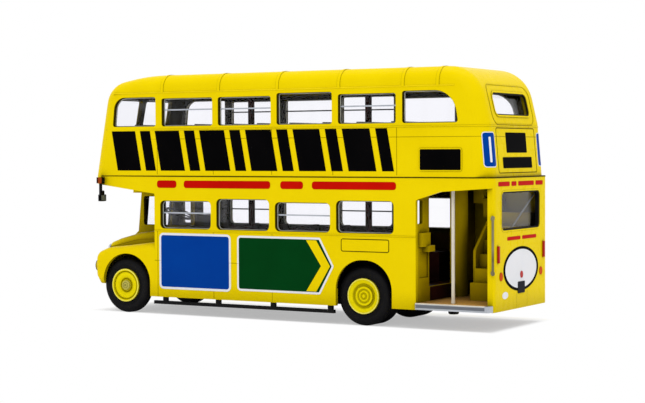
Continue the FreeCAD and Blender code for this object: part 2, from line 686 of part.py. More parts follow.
def wheel_room(body, name, low, high):
    """Cut a front wheel arch through a body."""
    before = body.Shape.Volume
    sketch = add_sketch(body, f"{name}_sketch", "XZ", [], f"{low} - wall")
    centre = (f"{FRONT_AXLE} - front_arch_back", "tyre_radius")
    circle = sketch.addGeometry(Part.Circle(Vector(value(centre[0]), value(centre[1]), 0), Vector(0, 0, 1), 8))
    for kind, text in (("DistanceX", centre[0]), ("DistanceY", centre[1])):
        spot = sketch.addConstraint(Sketcher.Constraint(kind, -1, 1, circle, 3, value(text)))
        sketch.setExpression(f"Constraints[{spot}]", cell(text))
    spot = sketch.addConstraint(Sketcher.Constraint("Radius", circle, 8))
    sketch.setExpression(f"Constraints[{spot}]", cell("front_arch"))
    feature = body.newObject("PartDesign::Pocket", name)
    feature.Profile = sketch
    feature.setExpression("Length", cell(f"({high}) - ({low}) + 2 * wall"))
    doc.recompute()
    if not body.Shape.Volume < before:
        raise RuntimeError(f"{name} takes nothing away")


def make_near_wing():
    """Front wing on the nearside."""
    body = new_body("near_wing")
    nose = f"({NOSE} - wing_nose_inset)"
    arch_x = f"({FRONT_AXLE} - wing_arch_back)"
    profile = [
        (BULKHEAD, "skirt_z", "0"),
        (arch_x, "skirt_z", "0"),
        (arch_x, "tyre_radius", "0"),
        (f"{nose} - 1.4", "tyre_radius", "0.6"),
        (nose, "tyre_radius + 2.2", "1.8"),
        (nose, "wing_top_z - 3.2", "2.4"),
        (f"{nose} - 3.6", "wing_top_z - 1.8", "4"),
        (f"{nose} - 10", "wing_top_z - 1.1", "0"),
        (BULKHEAD, "wing_top_z", "0"),
    ]
    pad(body, "near_wing_block", "XZ", [profile], "wing_inner_y", SIDE)
    side = value(SIDE)
    low = value("tyre_radius + 1")
    fillet(
        body, "near_wing_edge", "2.0",
        lambda edge: all(abs(end.Y - side) < 1e-6 and end.Z > low for end in edge.Vertexes)
        and edge.BoundBox.XMax > value(BULKHEAD) + 0.1,
    )
    arch = [
        (f"{arch_x} - wing_arch_half", "skirt_z - wall", "0"),
        (f"{arch_x} + wing_arch_half", "skirt_z - wall", "0"),
        (f"{arch_x} + wing_arch_half", "wing_arch_z", "wing_arch_round"),
        (f"{arch_x} - wing_arch_half", "wing_arch_z", "wing_arch_round"),
    ]
    pocket(body, "near_arch", "XZ", [arch], "wing_inner_y", f"{SIDE} + wall")
    wheel_room(body, "near_room", "wing_inner_y", f"({SIDE} - wing_skin - wall)")
    return node(body, "near_wing")


def make_bonnet():
    """Narrow bonnet between the cab and the near wing."""
    body = new_body("bonnet")
    face = f"({NOSE} - cab_nose_inset)"
    profile = [
        (BULKHEAD, "bonnet_low_z", "0"),
        (face, "bonnet_low_z", "0"),
        (face, "bonnet_nose_z", "0.8"),
        (f"{face} - 3.2", "bonnet_nose_z + 1.2", "3"),
        (f"{face} - 9.5", "bonnet_top_z - 1.2", "6"),
        (BULKHEAD, "bonnet_top_z", "0"),
    ]
    pad(body, "bonnet_block", "XZ", [profile], "-cab_side_y", "wing_inner_y")
    side = value("wing_inner_y")
    low = value("bonnet_nose_z") - 1.2
    fillet(
        body, "bonnet_edge", "1.6",
        lambda edge: all(abs(end.Y - side) < 1e-6 and end.Z > low for end in edge.Vertexes)
        and edge.BoundBox.XLength > 0.1,
    )
    return node(body, "bonnet")


def make_grille():
    """Radiator grille: a frame with upright slats."""
    face = f"({NOSE} - cab_nose_inset)"
    low, high = "(bonnet_low_z - 1.0)", "(bonnet_nose_z - 0.3)"
    left, right = "(-cab_side_y + 0.5)", "(wing_inner_y - 0.5)"
    body = new_body("radiator_grille")
    pad(body, "grille_plate", "YZ", [pane(right, left, low, high, "1.2")], face, f"{face} + grille_depth")
    step = f"(({right} - {left} - 1.4) / grille_slots)"
    first = pane(f"{left} + 0.7 + {step} * 0.8", f"{left} + 0.7 + {step} * 0.2", f"{low} + 0.9", f"{high} - 0.9", "0.15")
    slot = pocket(body, "grille_slot", "YZ", [first], f"{face} + 0.2", f"{face} + 2 * grille_depth")
    row = body.newObject("PartDesign::LinearPattern", "grille_row")
    row.Originals = [slot]
    row.Direction = (slot.Profile[0], ["H_Axis"])
    row.setExpression("Length", cell(f"{step} * (grille_slots - 1)"))
    row.setExpression("Occurrences", cell("grille_slots"))
    body.Tip = row
    doc.recompute()
    return node(body, "radiator_grille")


def make_headlamps():
    """A lamp on the near wing and one on the cab front."""
    height = "(tyre_radius + lamp_rise)"
    across = f"((wing_inner_y + {SIDE}) / 2)"
    near = rod("near_lamp", "X", (f"{NOSE} - wing_nose_inset", across, height), "lamp_radius", "0.5")
    far = rod("off_lamp", "X", (f"{NOSE} - cab_nose_inset", f"-{across} + 1.2", height), "lamp_radius", "0.5")
    return node(group("headlamps", [near, far]), "headlamps")


# --------------------------------------------------------------- small fittings

def make_ears(canopy):
    """Indicators that stand out of the front corners just below the joint."""
    solids = []
    for side, word in ((1, "near"), (-1, "off")):
        block = box(
            f"{word}_ear_block", (f"{NOSE} - ear_front - ear_length", f"{NOSE} - ear_front"),
            sorted_span(side, f"{SIDE} - ear_root", f"{SIDE} + ear_out"), ("deck_z - ear_foot", "deck_z - ear_head"),
        )
        solids.append(cut(f"{word}_ear", block, [canopy]))
    return node(group("indicator_ears", solids), "indicator_ears")


def make_mirror(side, word):
    """A mirror on an arm that hangs from the canopy's corner."""
    x = f"({NOSE} - 3.9)"
    out = f"({SIDE} + ear_out / 2)"
    arm = rod(f"{word}_arm", "Z", (x, out, "mirror_foot_z"), "0.25", "deck_z - ear_foot - mirror_foot_z")
    face = pane(f"{out} + mirror_width / 2", f"{out} - mirror_width / 2", "mirror_foot_z", "mirror_foot_z + mirror_height", "0.3")
    head = prism(f"{word}_head", "YZ", face, f"{x} - 0.6", f"{x} - 0.1")
    mirror = fuse(f"{word}_mirror_fuse", [arm, head])
    if side > 0:
        return node(mirror, f"{word}_mirror")
    flipped = doc.addObject("Part::Mirroring", f"{word}_mirror")
    flipped.Source = mirror
    flipped.Normal = Vector(0, 1, 0)
    return node(flipped, f"{word}_mirror")


def make_rear_lamps():
    """Upright red lamps at both sides of the rear panel."""
    solids = [
        box(f"{word}_tail_lamp", (f"{TAIL} - tail_lamp_depth", TAIL),
            sorted_span(side, "tail_lamp_y - tail_lamp_width / 2", "tail_lamp_y + tail_lamp_width / 2"), ("tail_lamp_low", "tail_lamp_high"))
        for side, word in ((1, "near"), (-1, "off"))
    ]
    return node(group("rear_lamps", solids), "rear_lamps")


# ------------------------------------------------------------------- platform

def make_platform(lower_body):
    """Platform floor with its metal edge, the pole and the corner handrail."""
    post = f"({SIDE} - corner_post + floor_gap)"
    plan = [
        (f"{TAIL} + wall", f"-{INSIDE}", "tail_corner - wall"),
        (f"{ENTRANCE} - floor_gap", f"-{INSIDE}", "0"),
        (f"{ENTRANCE} - floor_gap", SIDE, "0"),
        (f"{TAIL} + 1.7 * wall", SIDE, "0"),
        (f"{TAIL} + 1.7 * wall", post, "0"),
        (f"{TAIL} + wall", f"{SIDE} - tail_corner", "0"),
    ]
    floor = prism("platform_floor", "XY", plan, "platform_z - platform_plate", "platform_z")
    node(floor, "platform_floor")
    outer = f"({SIDE} + edge_width)"
    edge = [
        (f"{ENTRANCE} - floor_gap", SIDE, "0"),
        (f"{ENTRANCE} - floor_gap", outer, "0"),
        (f"{TAIL} + 0.5 * wall", outer, "0.4"),
        (f"{TAIL} + 0.2 * wall", post, "0"),
        (f"{TAIL} + 1.7 * wall", post, "0"),
        (f"{TAIL} + 1.7 * wall", SIDE, "0"),
    ]
    node(prism("platform_edge", "XY", edge, "platform_z - edge_drop", "platform_z"), "platform_edge")
    pole_x = f"({TAIL} + pole_tail)"
    pole_y = f"({SIDE} - pole_inset)"
    pole = rod("platform_pole", "Z", (pole_x, pole_y, "platform_z"), "pole_radius", f"{CEILING} - platform_z")
    node(pole, "platform_pole")
    rail_at = (f"{TAIL} + 0.1", f"{SIDE} - 1.05")
    rail = rod("handrail_bar", "Z", (*rail_at, "handrail_low"), "0.25", "handrail_high - handrail_low")
    balls = [
        ball(f"{height}_ball", (*rail_at, height), "0.45")
        for height in ("handrail_low", "handrail_high")
    ]
    return node(cut("corner_handrail", fuse("handrail_solid", [rail, *balls]), [lower_body]), "corner_handrail")


def make_bulkhead():
    """Wall between saloon and platform: doorway with a rounded post, slit window, box for used tickets."""
    rear, front = ENTRANCE, f"({ENTRANCE} + partition)"
    body = new_body("bulkhead_wall")
    wall = pane(INSIDE, f"-{INSIDE}", f"{PLATE_TOP} + floor_gap", CEILING, "0")
    pad(body, "bulkhead_plate", "YZ", [wall], rear, front)
    holes = [
        pane("door_near_y", "-door_off_y", "saloon_floor_z", "deck_z - door_head_drop", "0.5"),
        pane(f"{INSIDE} + wall", f"{INSIDE} - slit_width", "slit_z", "slit_z + slit_height", "0.3"),
    ]
    pocket(body, "bulkhead_holes", "YZ", holes, f"{rear} - wall", f"{front} + wall")
    recess = pane("door_near_y + 4.8", "door_near_y + 0.5", "slit_z - 12.2", "slit_z - 6.3", "0.2")
    pocket(body, "bulkhead_recess", "YZ", [recess], f"{rear} - wall", f"{rear} + 0.3")
    post_rear = f"({rear} - door_post)"
    post = prism("door_post", "XY", [
        (post_rear, "-door_off_y - door_post", "0"), (rear, "-door_off_y - door_post", "0"),
        (rear, "-door_off_y", "0"), (post_rear, "-door_off_y", "door_post - 0.2"),
    ], "platform_z", CEILING)
    tickets = box(
        "ticket_box", (f"{rear} - 1", rear), ("door_near_y + 1.2", "door_near_y + 5.2"), ("slit_z - 5.1", "slit_z - 2"),
    )
    tray = box(
        "ticket_tray", (f"{rear} - 1.5", rear), ("door_near_y", "door_near_y + 3.2"), ("slit_z - 6.3", "slit_z - 4.9"),
    )
    return node(fuse("platform_bulkhead", [body, post, tickets, tray]), "platform_bulkhead")


def make_staircase():
    """A flight along the rear wall up to the offside, a landing, and two steps forward to the deck."""
    steps = []
    for index in range(8):
        top = f"platform_z + stair_first + {STAIR_RISE} * {index}"
        low = f"{top} - stair_tread" if index else "platform_z"
        if index < 5:
            across = (f"stair_start_y - stair_run * {index + 1}", f"stair_start_y - stair_run * {index}")
            steps.append(box(f"step_{index}", (STAIR_REAR, STAIR_FRONT), across, (low, top)))
        elif index > 5:
            along = (f"{STAIR_FRONT} + stair_run * {index - 6}", f"{STAIR_FRONT} + stair_run * {index - 5}")
            steps.append(box(f"step_{index}", along, (f"-{INSIDE}", STAIR_TURN), (low, top)))
        else:
            corner = [
                (STAIR_REAR, f"-{INSIDE}", "tail_corner - wall"), (STAIR_FRONT, f"-{INSIDE}", "0"),
                (STAIR_FRONT, STAIR_TURN, "0"), (STAIR_REAR, STAIR_TURN, "0"),
            ]
            steps.append(prism("landing", "XY", corner, low, top))
    start = "(stair_start_y - 1.2 * stair_run)"
    foot = f"(platform_z + stair_first + 2.3 * {STAIR_RISE})"
    edge = [
        (f"{STAIR_TURN} - panel", "platform_z", "0"), (start, "platform_z", "0"), (start, foot, "0.6"),
        (f"{STAIR_TURN} - panel", f"{foot} + stair_panel_rise", "0"),
    ]
    steps.append(prism("stair_panel", "YZ", edge, STAIR_FRONT, f"{STAIR_FRONT} + panel"))
    return node(fuse("staircase", steps), "staircase")


# -------------------------------------------------------------------- interior

def seat(name, rear, near_y, far_y, floor, rise):
    """A bench facing forward: cushion and back."""
    cushion = box(f"{name}_cushion", (rear, f"{rear} + seat_depth"), (near_y, far_y), (floor, f"{floor} + seat_rise"))
    back = box(f"{name}_back", (rear, f"{rear} + seat_back"), (near_y, far_y), (floor, f"{floor} + {rise}"))
    return fuse(name, [cushion, back])


def make_seats(deck, first, rows, floor):
    """Benches at both sides of the aisle, one node a side."""
    for side, word in ((1, "near"), (-1, "off")):
        benches = [
            seat(
                f"{deck}_{word}_{row}", f"({first} - seat_pitch * {row})",
                *sorted_span(side, "aisle / 2", LINING), floor, f"{deck}_back_rise",
            )
            for row in range(rows)
        ]
        node(group(f"{deck}_seats_{word}", benches), f"{deck}_seats_{word}")


def make_lower_interior():
    """Saloon floor with its wheel boxes, and the benches."""
    top = "saloon_floor_z"
    under = f"({top} - floor_plate)"
    rear = f"({ENTRANCE} + partition)"
    floor = box("lower_floor", (rear, f"{BULKHEAD} - wall"), (f"-{INSIDE}", INSIDE), (under, top))
    boxes_out, boxes_in = [], []
    for side, word in ((1, "near"), (-1, "off")):
        boxes_out.append(box(
            f"{word}_wheel_box", (f"{WHEEL_BOX_REAR} - floor_plate", f"{WHEEL_BOX_FRONT} + floor_plate"),
            sorted_span(side, f"{WHEEL_BOX_INNER} - floor_plate", LINING), (under, "rear_arch_z + floor_plate"),
        ))
        boxes_in.append(box(
            f"{word}_wheel_hole", (WHEEL_BOX_REAR, WHEEL_BOX_FRONT),
            sorted_span(side, WHEEL_BOX_INNER, SIDE), (f"{under} - wall", "rear_arch_z"),
        ))
    solid = fuse("lower_floor_solid", [floor, *boxes_out])
    node(cut("lower_interior", solid, boxes_in), "lower_interior")
    make_seats("lower", f"({BULKHEAD} - wall - 10)", 4, top)


def sorted_span(side, inner, outer):
    """The span between two distances from the centre line, on one side of it."""
    return (inner, outer) if side > 0 else (f"-({outer})", f"-({inner})")


def make_upper_interior():
    """Upper saloon floor, the panels round the stair head, and the benches."""
    inset = "(wall + floor_gap)"
    plan = [
        (x, f"{side} * ({SIDE} - {inset})", "roof_edge - wall")
        for x, side in (
            (f"{TAIL} + rear_sill_inset + {inset}", -1), (f"{NOSE} - front_sill_inset - {inset}", -1),
            (f"{NOSE} - front_sill_inset - {inset}", 1), (f"{TAIL} + rear_sill_inset + {inset}", 1),
        )
    ]
    well = prism("floor_well", "XY", stair_well(), f"{CEILING}", f"{UPPER_FLOOR} + wall")
    floor = cut("upper_floor", prism("upper_plate", "XY", plan, "deck_z", UPPER_FLOOR), [well])
    top = f"{UPPER_FLOOR} + guard_height"
    guards = [
        box("guard_side", (STAIR_FRONT, WELL_FRONT), (STAIR_TURN, f"{STAIR_TURN} + panel"), (UPPER_FLOOR, top)),
        box("guard_turn", (STAIR_FRONT, f"{STAIR_FRONT} + panel"), (STAIR_TURN, "-well_head_y + panel"), (UPPER_FLOOR, top)),
        box("guard_end", (f"{STAIR_REAR} + 2", STAIR_FRONT), ("-well_head_y", "-well_head_y + panel"), (UPPER_FLOOR, top)),
    ]
    node(fuse("upper_interior", [floor, *guards]), "upper_interior")
    make_seats("upper", f"({NOSE} - 14)", 9, UPPER_FLOOR)


def make_cab_fittings():
    """Driver's seat and steering wheel."""
    middle = f"(-({SIDE} + cab_side_y) / 2)"
    cushion = box("driver_cushion", (f"{BULKHEAD} + 1", f"{BULKHEAD} + 6"), (f"{middle} - 2.6", f"{middle} + 2.6"), ("cab_floor_z", "cab_floor_z + 1.6"))
    back = box("driver_back", (f"{BULKHEAD} + 1", f"{BULKHEAD} + 2"), (f"{middle} - 2.6", f"{middle} + 2.6"), ("cab_floor_z", "cab_floor_z + driver_back_rise"))
    node(fuse("driver_seat", [cushion, back]), "driver_seat")
    column = rod("steering_column", "Z", (f"{BULKHEAD} + 10.3", middle, "cab_floor_z"), "0.4", "wheel_rise")
    wheel = rod("steering_rim", "Z", (f"{BULKHEAD} + 10.3", middle, "cab_floor_z + wheel_rise"), "wheel_radius", "0.5")
    return node(fuse("steering_wheel", [column, wheel]), "steering_wheel")


def sleeve(name, block, low, high):
    """A clear moulding that follows the inside of a shell between two heights."""
    gap = "(wall + glazing_gap)"
    band = box(f"{name}_band", (f"{TAIL} - wall", f"{NOSE} + wall"), (f"-{SIDE} - wall", f"{SIDE} + wall"), (low, high))
    outer = common(f"{name}_outer", [block(f"{name}_skin", gap), band])
    return node(cut(name, outer, [block(f"{name}_core", f"({gap} + glazing)")]), name)


def make_glazing():
    """Clear mouldings behind the window openings."""
    foot, head = "lower_sill_z - 0.9", "lower_sill_z + lower_window + 1.5"
    front = f"({BULKHEAD} - wall - glazing_gap)"
    panes = [
        box(f"lower_{word}_pane", (f"{bay_front('lower_margin', 'bay_count')} + 0.5", front),
            sorted_span(side, PANE_IN, PANE_OUT), (foot, head))
        for side, word in ((1, "near"), (-1, "off"))
    ]
    panes.append(box(
        "bulkhead_pane", (f"{front} - glazing", front), (f"-{PANE_IN} + 0.8", f"{PANE_IN} - 0.8"), (foot, head),
    ))
    panes.append(box(
        "rear_pane", (f"{TAIL} + wall + glazing_gap", f"{TAIL} + wall + glazing_gap + glazing"),
        ("-rear_window / 2 - 0.6", "rear_window / 2 + 0.6"), ("rear_sill_z - 0.8", "rear_sill_z + rear_height + 0.8"),
    ))
    node(group("lower_glazing", panes), "lower_glazing")
    sleeve("upper_glazing", upper_block, "upper_sill_z - 0.9", "upper_sill_z + upper_quarter + 0.6")
    sleeve("cab_glazing", cab_space, "screen_foot_z + 0.1", f"{CANOPY} - 0.1")


# --------------------------------------------------------------------- chassis

def make_chassis():
    """Base plate with axle bearings and two screw bosses for a display plinth."""
    low, high = "chassis_z", PLATE_TOP
    gap = f"({INSIDE} - chassis_gap)"
    plate = box("base_plate", (f"{ENTRANCE} + 0.3", f"{BULKHEAD} - wall - chassis_gap"), (f"-{gap}", gap), (low, high))
    tongue = box(
        "front_tongue", (f"{BULKHEAD} - wall - chassis_gap", f"{NOSE} - 2.2"), ("-tongue_half", "tongue_half"), (low, high),
    )
    holes = [
        box(f"{word}_wheel_gap", (WHEEL_BOX_REAR, WHEEL_BOX_FRONT),
            sorted_span(side, WHEEL_BOX_INNER, SIDE), (f"{low} - wall", f"{high} + wall"))
        for side, word in ((1, "near"), (-1, "off"))
    ]
    bearings = []
    bores = []
    rear_bearing = f"({WHEEL_BOX_INNER} - floor_gap)"
    for word, x, end in (("front", FRONT_AXLE, "tongue_half"), ("rear", REAR_AXLE, rear_bearing)):
        for side, hand in ((1, "near"), (-1, "off")):
            bearings.append(box(
                f"{word}_{hand}_bearing", (f"{x} - 1.8", f"{x} + 1.8"), sorted_span(side, f"{end} - bearing", end),
                (high, "tyre_radius + axle_radius + 0.6"),
            ))
        bores.append(rod(f"{word}_bore", "Y", (x, "-10", "tyre_radius"), "axle_radius + axle_play", "20"))
    bosses = []
    for index, x in enumerate((SCREW_FRONT, SCREW_REAR)):
        bosses.append(rod(f"screw_boss_{index}", "Z", (x, "0", high), "boss_radius", "boss_height"))
        bores.append(rod(
            f"screw_hole_{index}", "Z", (x, "0", f"{low} - wall"), "screw_radius", "chassis_plate + boss_height",
        ))
    solid = fuse("chassis_solid", [plate, tongue, *bearings, *bosses])
    return node(cut("chassis", solid, holes + bores), "chassis")


def make_life_rails():
    """Guard rails that hang below the skirt between the wheels, one each side."""
    outer = f"({INSIDE} - chassis_gap)"
    for side, word in ((1, "near"), (-1, "off")):
        span = sorted_span(side, f"{outer} - rail_bar", outer)
        start = f"({FRONT_AXLE} - front_arch - 0.65)"
        end = f"({REAR_AXLE} + rear_arch_half)"
        bar = box(f"{word}_rail_bar", (end, start), span, ("rail_low_z", "rail_low_z + rail_bar"))
        posts = [
            box(f"{word}_rail_post_{index}", (f"{x} - 0.6", f"{x} + 0.6"), span, ("rail_low_z + rail_bar", "chassis_z"))
            for index, x in enumerate((
                f"{BULKHEAD} - 2.2", f"{BULKHEAD} - 2.2 - ({BULKHEAD} - {end} - 3.3) / 3",
                f"{BULKHEAD} - 2.2 - ({BULKHEAD} - {end} - 3.3) / 1.5", f"{end} + 1.1",
            ))
        ]
        node(fuse(f"life_rail_{word}", [bar, *posts]), f"life_rail_{word}")


def make_underfloor():
    """Fuel tank and exhaust below the base plate."""
    tank = box(
        "fuel_tank", (f"{REAR_AXLE} + tank_front - tank_length", f"{REAR_AXLE} + tank_front"),
        ("-tank_y - tank_width", "-tank_y"), ("chassis_z - tank_depth", "chassis_z"),
    )
    node(tank, "fuel_tank")
    silencer = box(
        "silencer", (f"{FRONT_AXLE} - silencer_front - silencer_length", f"{FRONT_AXLE} - silencer_front"),
        ("silencer_y", "silencer_y + silencer_width"), ("chassis_z - silencer_depth", "chassis_z"),
    )
    return node(silencer, "silencer")


# ---------------------------------------------------------------------- wheels

def turned(name, outline):
    """A body turned about its own Y axis from an outline (along, out, radius)."""
    body = new_body(name)
    feature = body.newObject("PartDesign::Revolution", f"{name}_turn")
    sketch = add_sketch(body, f"{name}_sketch", "YZ", [outline], "0")
    feature.Profile = sketch
    feature.ReferenceAxis = (sketch, ["H_Axis"])
    feature.Angle = 360
    doc.recompute()
    return body


def stand(body, x, side):
    """Put a wheel part, modelled with its outer face at y = 0, on its axle."""
    face = WHEEL_FACE if x == FRONT_AXLE else f"({WHEEL_FACE} - rear_face_inset)"
    turn = 0 if side > 0 else 180
    body.Placement = Placement(Vector(), Rotation(Vector(0, 0, 1), turn))
    return place(body, x, f"{side} * {face}", "tyre_radius")


def make_wheels(word, x, twin):
    """Tyres, hubs and axle of one axle, which turn as one."""
    depth = "(2 * tyre_width + twin_gap)" if twin else "tyre_width"
    face = f"({WHEEL_FACE} - rear_face_inset)" if twin else WHEEL_FACE
    for side, hand in ((1, "near"), (-1, "off")):
        tyre = [
            (f"-{depth}", "rim_radius", "0"),
            (f"-{depth}", "tyre_radius", "tyre_shoulder"),
            ("-0.15", "tyre_radius", "tyre_shoulder"),
            ("-0.15", "rim_radius", "0"),
        ]
        if twin:
            tyre[2:2] = [
                ("-tyre_width - twin_gap", "tyre_radius", "tyre_shoulder"),
                ("-tyre_width - twin_gap", "rim_radius + 1.2", "0"),
                ("-tyre_width", "rim_radius + 1.2", "0"),
                ("-tyre_width", "tyre_radius", "tyre_shoulder"),
            ]
        node(stand(turned(f"{word}_tyre_{hand}", tyre), x, side), f"{word}_tyre_{hand}")
        hub = [
            (f"-{depth} + 0.3", "axle_radius", "0"),
            (f"-{depth} + 0.3", "rim_radius", "0"),
            ("0", "rim_radius", "0.15"),
            ("0", "rim_radius - 0.5", "0.15"),
            ("-0.7", "rim_radius - 0.8", "0"),
            ("-0.7", "1.7", "0"),
            ("-0.2", "1.4", "0.3"),
            ("-0.2", "0", "0"),
            ("-1.6", "0", "0"),
            ("-1.6", "axle_radius", "0"),
        ]
        node(stand(turned(f"{word}_hub_{hand}", hub), x, side), f"{word}_hub_{hand}")
    axle = rod(f"{word}_axle", "Y", (x, f"-{face} + 1.6", "tyre_radius"), "axle_radius", f"2 * ({face} - 1.6)")
    node(axle, f"{word}_axle")


# ----------------------------------------------------------------------- build

def check_model():
    """Stop if any object failed or any sub-part has no sound solid."""
    doc.recompute()
    failed = [item.Name for item in doc.Objects if {"Invalid", "Error"} & set(item.State)]
    for item in NODES:
        if item.Shape.isNull() or not item.Shape.isValid() or not item.Shape.Solids:
            failed.append(item.Label)
    if failed:
        raise RuntimeError("these did not build: " + ", ".join(failed))


def main():
    fill_sheet()
    make_upper_body()
    lower_body = make_lower_body()
    canopy = make_canopy()
    make_cab()
    make_near_wing()
    make_bonnet()
    make_grille()
    make_headlamps()
    make_ears(canopy)
    make_mirror(1, "near")
    make_mirror(-1, "off")
    make_rear_lamps()
    make_platform(lower_body)
    make_bulkhead()
    make_staircase()
    make_lower_interior()
    make_upper_interior()
    make_cab_fittings()
    make_glazing()
    make_chassis()
    make_life_rails()
    make_underfloor()
    make_wheels("front", FRONT_AXLE, False)
    make_wheels("rear", REAR_AXLE, True)
    check_model()
    os.makedirs("parts", exist_ok=True)
    for item in NODES:
        item.Shape.exportStep(f"parts/{item.Label}.step")
        print(f"{item.Label:20s} {len(item.Shape.Solids)} solid(s) {item.Shape.Volume:9.2f} mm3")


main()
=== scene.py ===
"""Looks of the model bus: paint, livery, glass, trim, wheels, light and camera.

Lengths are millimetres in the part's own frame unless a line says metres: +X is the front,
+Y the near side and +Z up.
"""
import itertools
import math

import bmesh
import bpy
from mathutils import Matrix, Vector
from mathutils.bvhtree import BVHTree


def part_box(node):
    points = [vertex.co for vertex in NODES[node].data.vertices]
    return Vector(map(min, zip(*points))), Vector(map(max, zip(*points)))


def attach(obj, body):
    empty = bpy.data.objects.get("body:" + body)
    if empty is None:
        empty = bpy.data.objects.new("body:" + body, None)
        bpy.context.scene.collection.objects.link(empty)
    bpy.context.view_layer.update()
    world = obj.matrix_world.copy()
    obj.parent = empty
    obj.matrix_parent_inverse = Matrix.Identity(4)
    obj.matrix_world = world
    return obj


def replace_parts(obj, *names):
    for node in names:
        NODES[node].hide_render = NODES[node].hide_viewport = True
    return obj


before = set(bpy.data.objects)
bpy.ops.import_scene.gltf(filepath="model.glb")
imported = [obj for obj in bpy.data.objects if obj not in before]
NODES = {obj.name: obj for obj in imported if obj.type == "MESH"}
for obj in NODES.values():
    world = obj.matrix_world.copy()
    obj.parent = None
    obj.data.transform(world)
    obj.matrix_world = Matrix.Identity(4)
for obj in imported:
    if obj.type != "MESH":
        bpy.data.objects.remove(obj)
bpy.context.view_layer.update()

MM = 0.001


def box_mm(node):
    """The low and high corners of a CAD node's box at rest."""
    low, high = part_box(node)
    return low / MM, high / MM


LOWER_LOW, LOWER_HIGH = box_mm("lower_body")
ROOF = box_mm("upper_body")[1].z
SIDE = LOWER_HIGH.y
TAIL = LOWER_LOW.x
SKIRT = LOWER_LOW.z
DECK = LOWER_HIGH.z
BULKHEAD = LOWER_HIGH.x
NOSE = -TAIL
ENTRANCE = box_mm("platform_bulkhead")[1].x - 0.8
# Window bays along both sides: pitch, pane length, front ends of the first panes, heights.
BAY, PANE = 16.57, 14.95
UPPER_BAYS, LOWER_BAYS = BULKHEAD - 2.33, BULKHEAD - 1.75
UPPER_SILL, UPPER_HEAD, LOWER_SILL = 46.2, 53.4, 21.25
# Thickness of the castings' walls.
WALL = 0.6

# -------- materials


def rgb(red, green, blue):
    """A display colour, 0 to 255, as linear light."""
    out = []
    for part in (red, green, blue):
        part /= 255
        out.append(part / 12.92 if part <= 0.04045 else ((part + 0.055) / 1.055) ** 2.4)
    return (*out, 1.0)


def add_node(tree, kind, settings=None, **inputs):
    """A node with its settings and its inputs, each by name or as i0, i1 and so on."""
    node = tree.nodes.new(kind)
    for key, word in (settings or {}).items():
        setattr(node, key, word)
    for key, source in inputs.items():
        socket = node.inputs[int(key[1:]) if key[1:].isdigit() else key]
        if isinstance(source, bpy.types.NodeSocket):
            tree.links.new(source, socket)
        else:
            socket.default_value = source
    return node


class Surface:
    """A Principled material whose colour, roughness and bump come from nodes."""

    def __init__(self, name, **sockets):
        self.material = bpy.data.materials.new(name)
        self.material.use_nodes = True
        self.tree = self.material.node_tree
        self.bsdf = self.tree.nodes["Principled BSDF"]
        for socket, number in sockets.items():
            self.bsdf.inputs[socket.replace("_", " ")].default_value = number
        self.place = self.add("ShaderNodeTexCoord").outputs["Object"]

    def add(self, kind, settings=None, **inputs):
        return add_node(self.tree, kind, settings, **inputs)

    def calc(self, operation, *values):
        """The result of a Math node."""
        numbered = {f"i{index}": value for index, value in enumerate(values)}
        return self.add("ShaderNodeMath", {"operation": operation}, **numbered).outputs[0]

    def axes(self):
        """X, Y and Z of the shaded place, in metres."""
        return self.add("ShaderNodeSeparateXYZ", Vector=self.place).outputs

    def noise(self, scale, detail=2.0, roughness=0.5):
        sockets = {"Scale": scale, "Detail": detail, "Roughness": roughness}
        return self.add("ShaderNodeTexNoise", Vector=self.place, **sockets).outputs["Fac"]

    def ramp(self, source, *stops):
        node = self.add("ShaderNodeValToRGB", Fac=source)
        while len(node.color_ramp.elements) < len(stops):
            node.color_ramp.elements.new(0.5)
        for element, (place, colour) in zip(node.color_ramp.elements, stops):
            element.position = place
            element.color = colour if len(colour) == 4 else (*colour, 1)
        return node.outputs["Color"]

    def drift(self, source, shade, colour):
        """A slow change between two display colours."""
        return self.ramp(source, (0.3, rgb(*shade)), (0.7, rgb(*colour)))

    def mix(self, factor, first, second):
        node = self.add("ShaderNodeMix", {"data_type": "RGBA"}, i0=factor, i6=first, i7=second)
        return node.outputs[2]

    def colour(self, source, recess_shade=None, reach_mm=9.0):
        """Base colour, turning to a painted shade colour in corners and deep places."""
        if recess_shade is not None:
            shelter = self.add("ShaderNodeAmbientOcclusion", {"samples": 6}, Distance=reach_mm * MM)
            source = self.mix(self.calc("POWER", shelter.outputs["AO"], 1.5), recess_shade, source)
        self.tree.links.new(source, self.bsdf.inputs["Base Color"])

    def finish(self, rough, rough_scale, rough_detail, depth_mm, bump_scale, bump_detail):
        """Roughness that wanders over a range, and a fine bump."""
        self.rough(self.noise(rough_scale, rough_detail), *rough)
        self.bump(self.noise(bump_scale, bump_detail), depth_mm)

    def rough(self, source, low, high):
        node = self.add("ShaderNodeMapRange", Value=source, i3=low, i4=high)
        self.tree.links.new(node.outputs["Result"], self.bsdf.inputs["Roughness"])

    def bump(self, source, depth_mm):
        node = self.add("ShaderNodeBump", Height=source, Distance=depth_mm * MM)
        self.tree.links.new(node.outputs["Normal"], self.bsdf.inputs["Normal"])


# Enamel: mirror level, range of roughness, and depth of its orange peel.
GLOSS, ROUGH, PEEL = 0.018, (0.22, 0.34), 0.0012
# Noise scales, per metre.
DRIFT_SCALE, ROUGH_SCALE, PEEL_SCALE = 90, 420, 1500


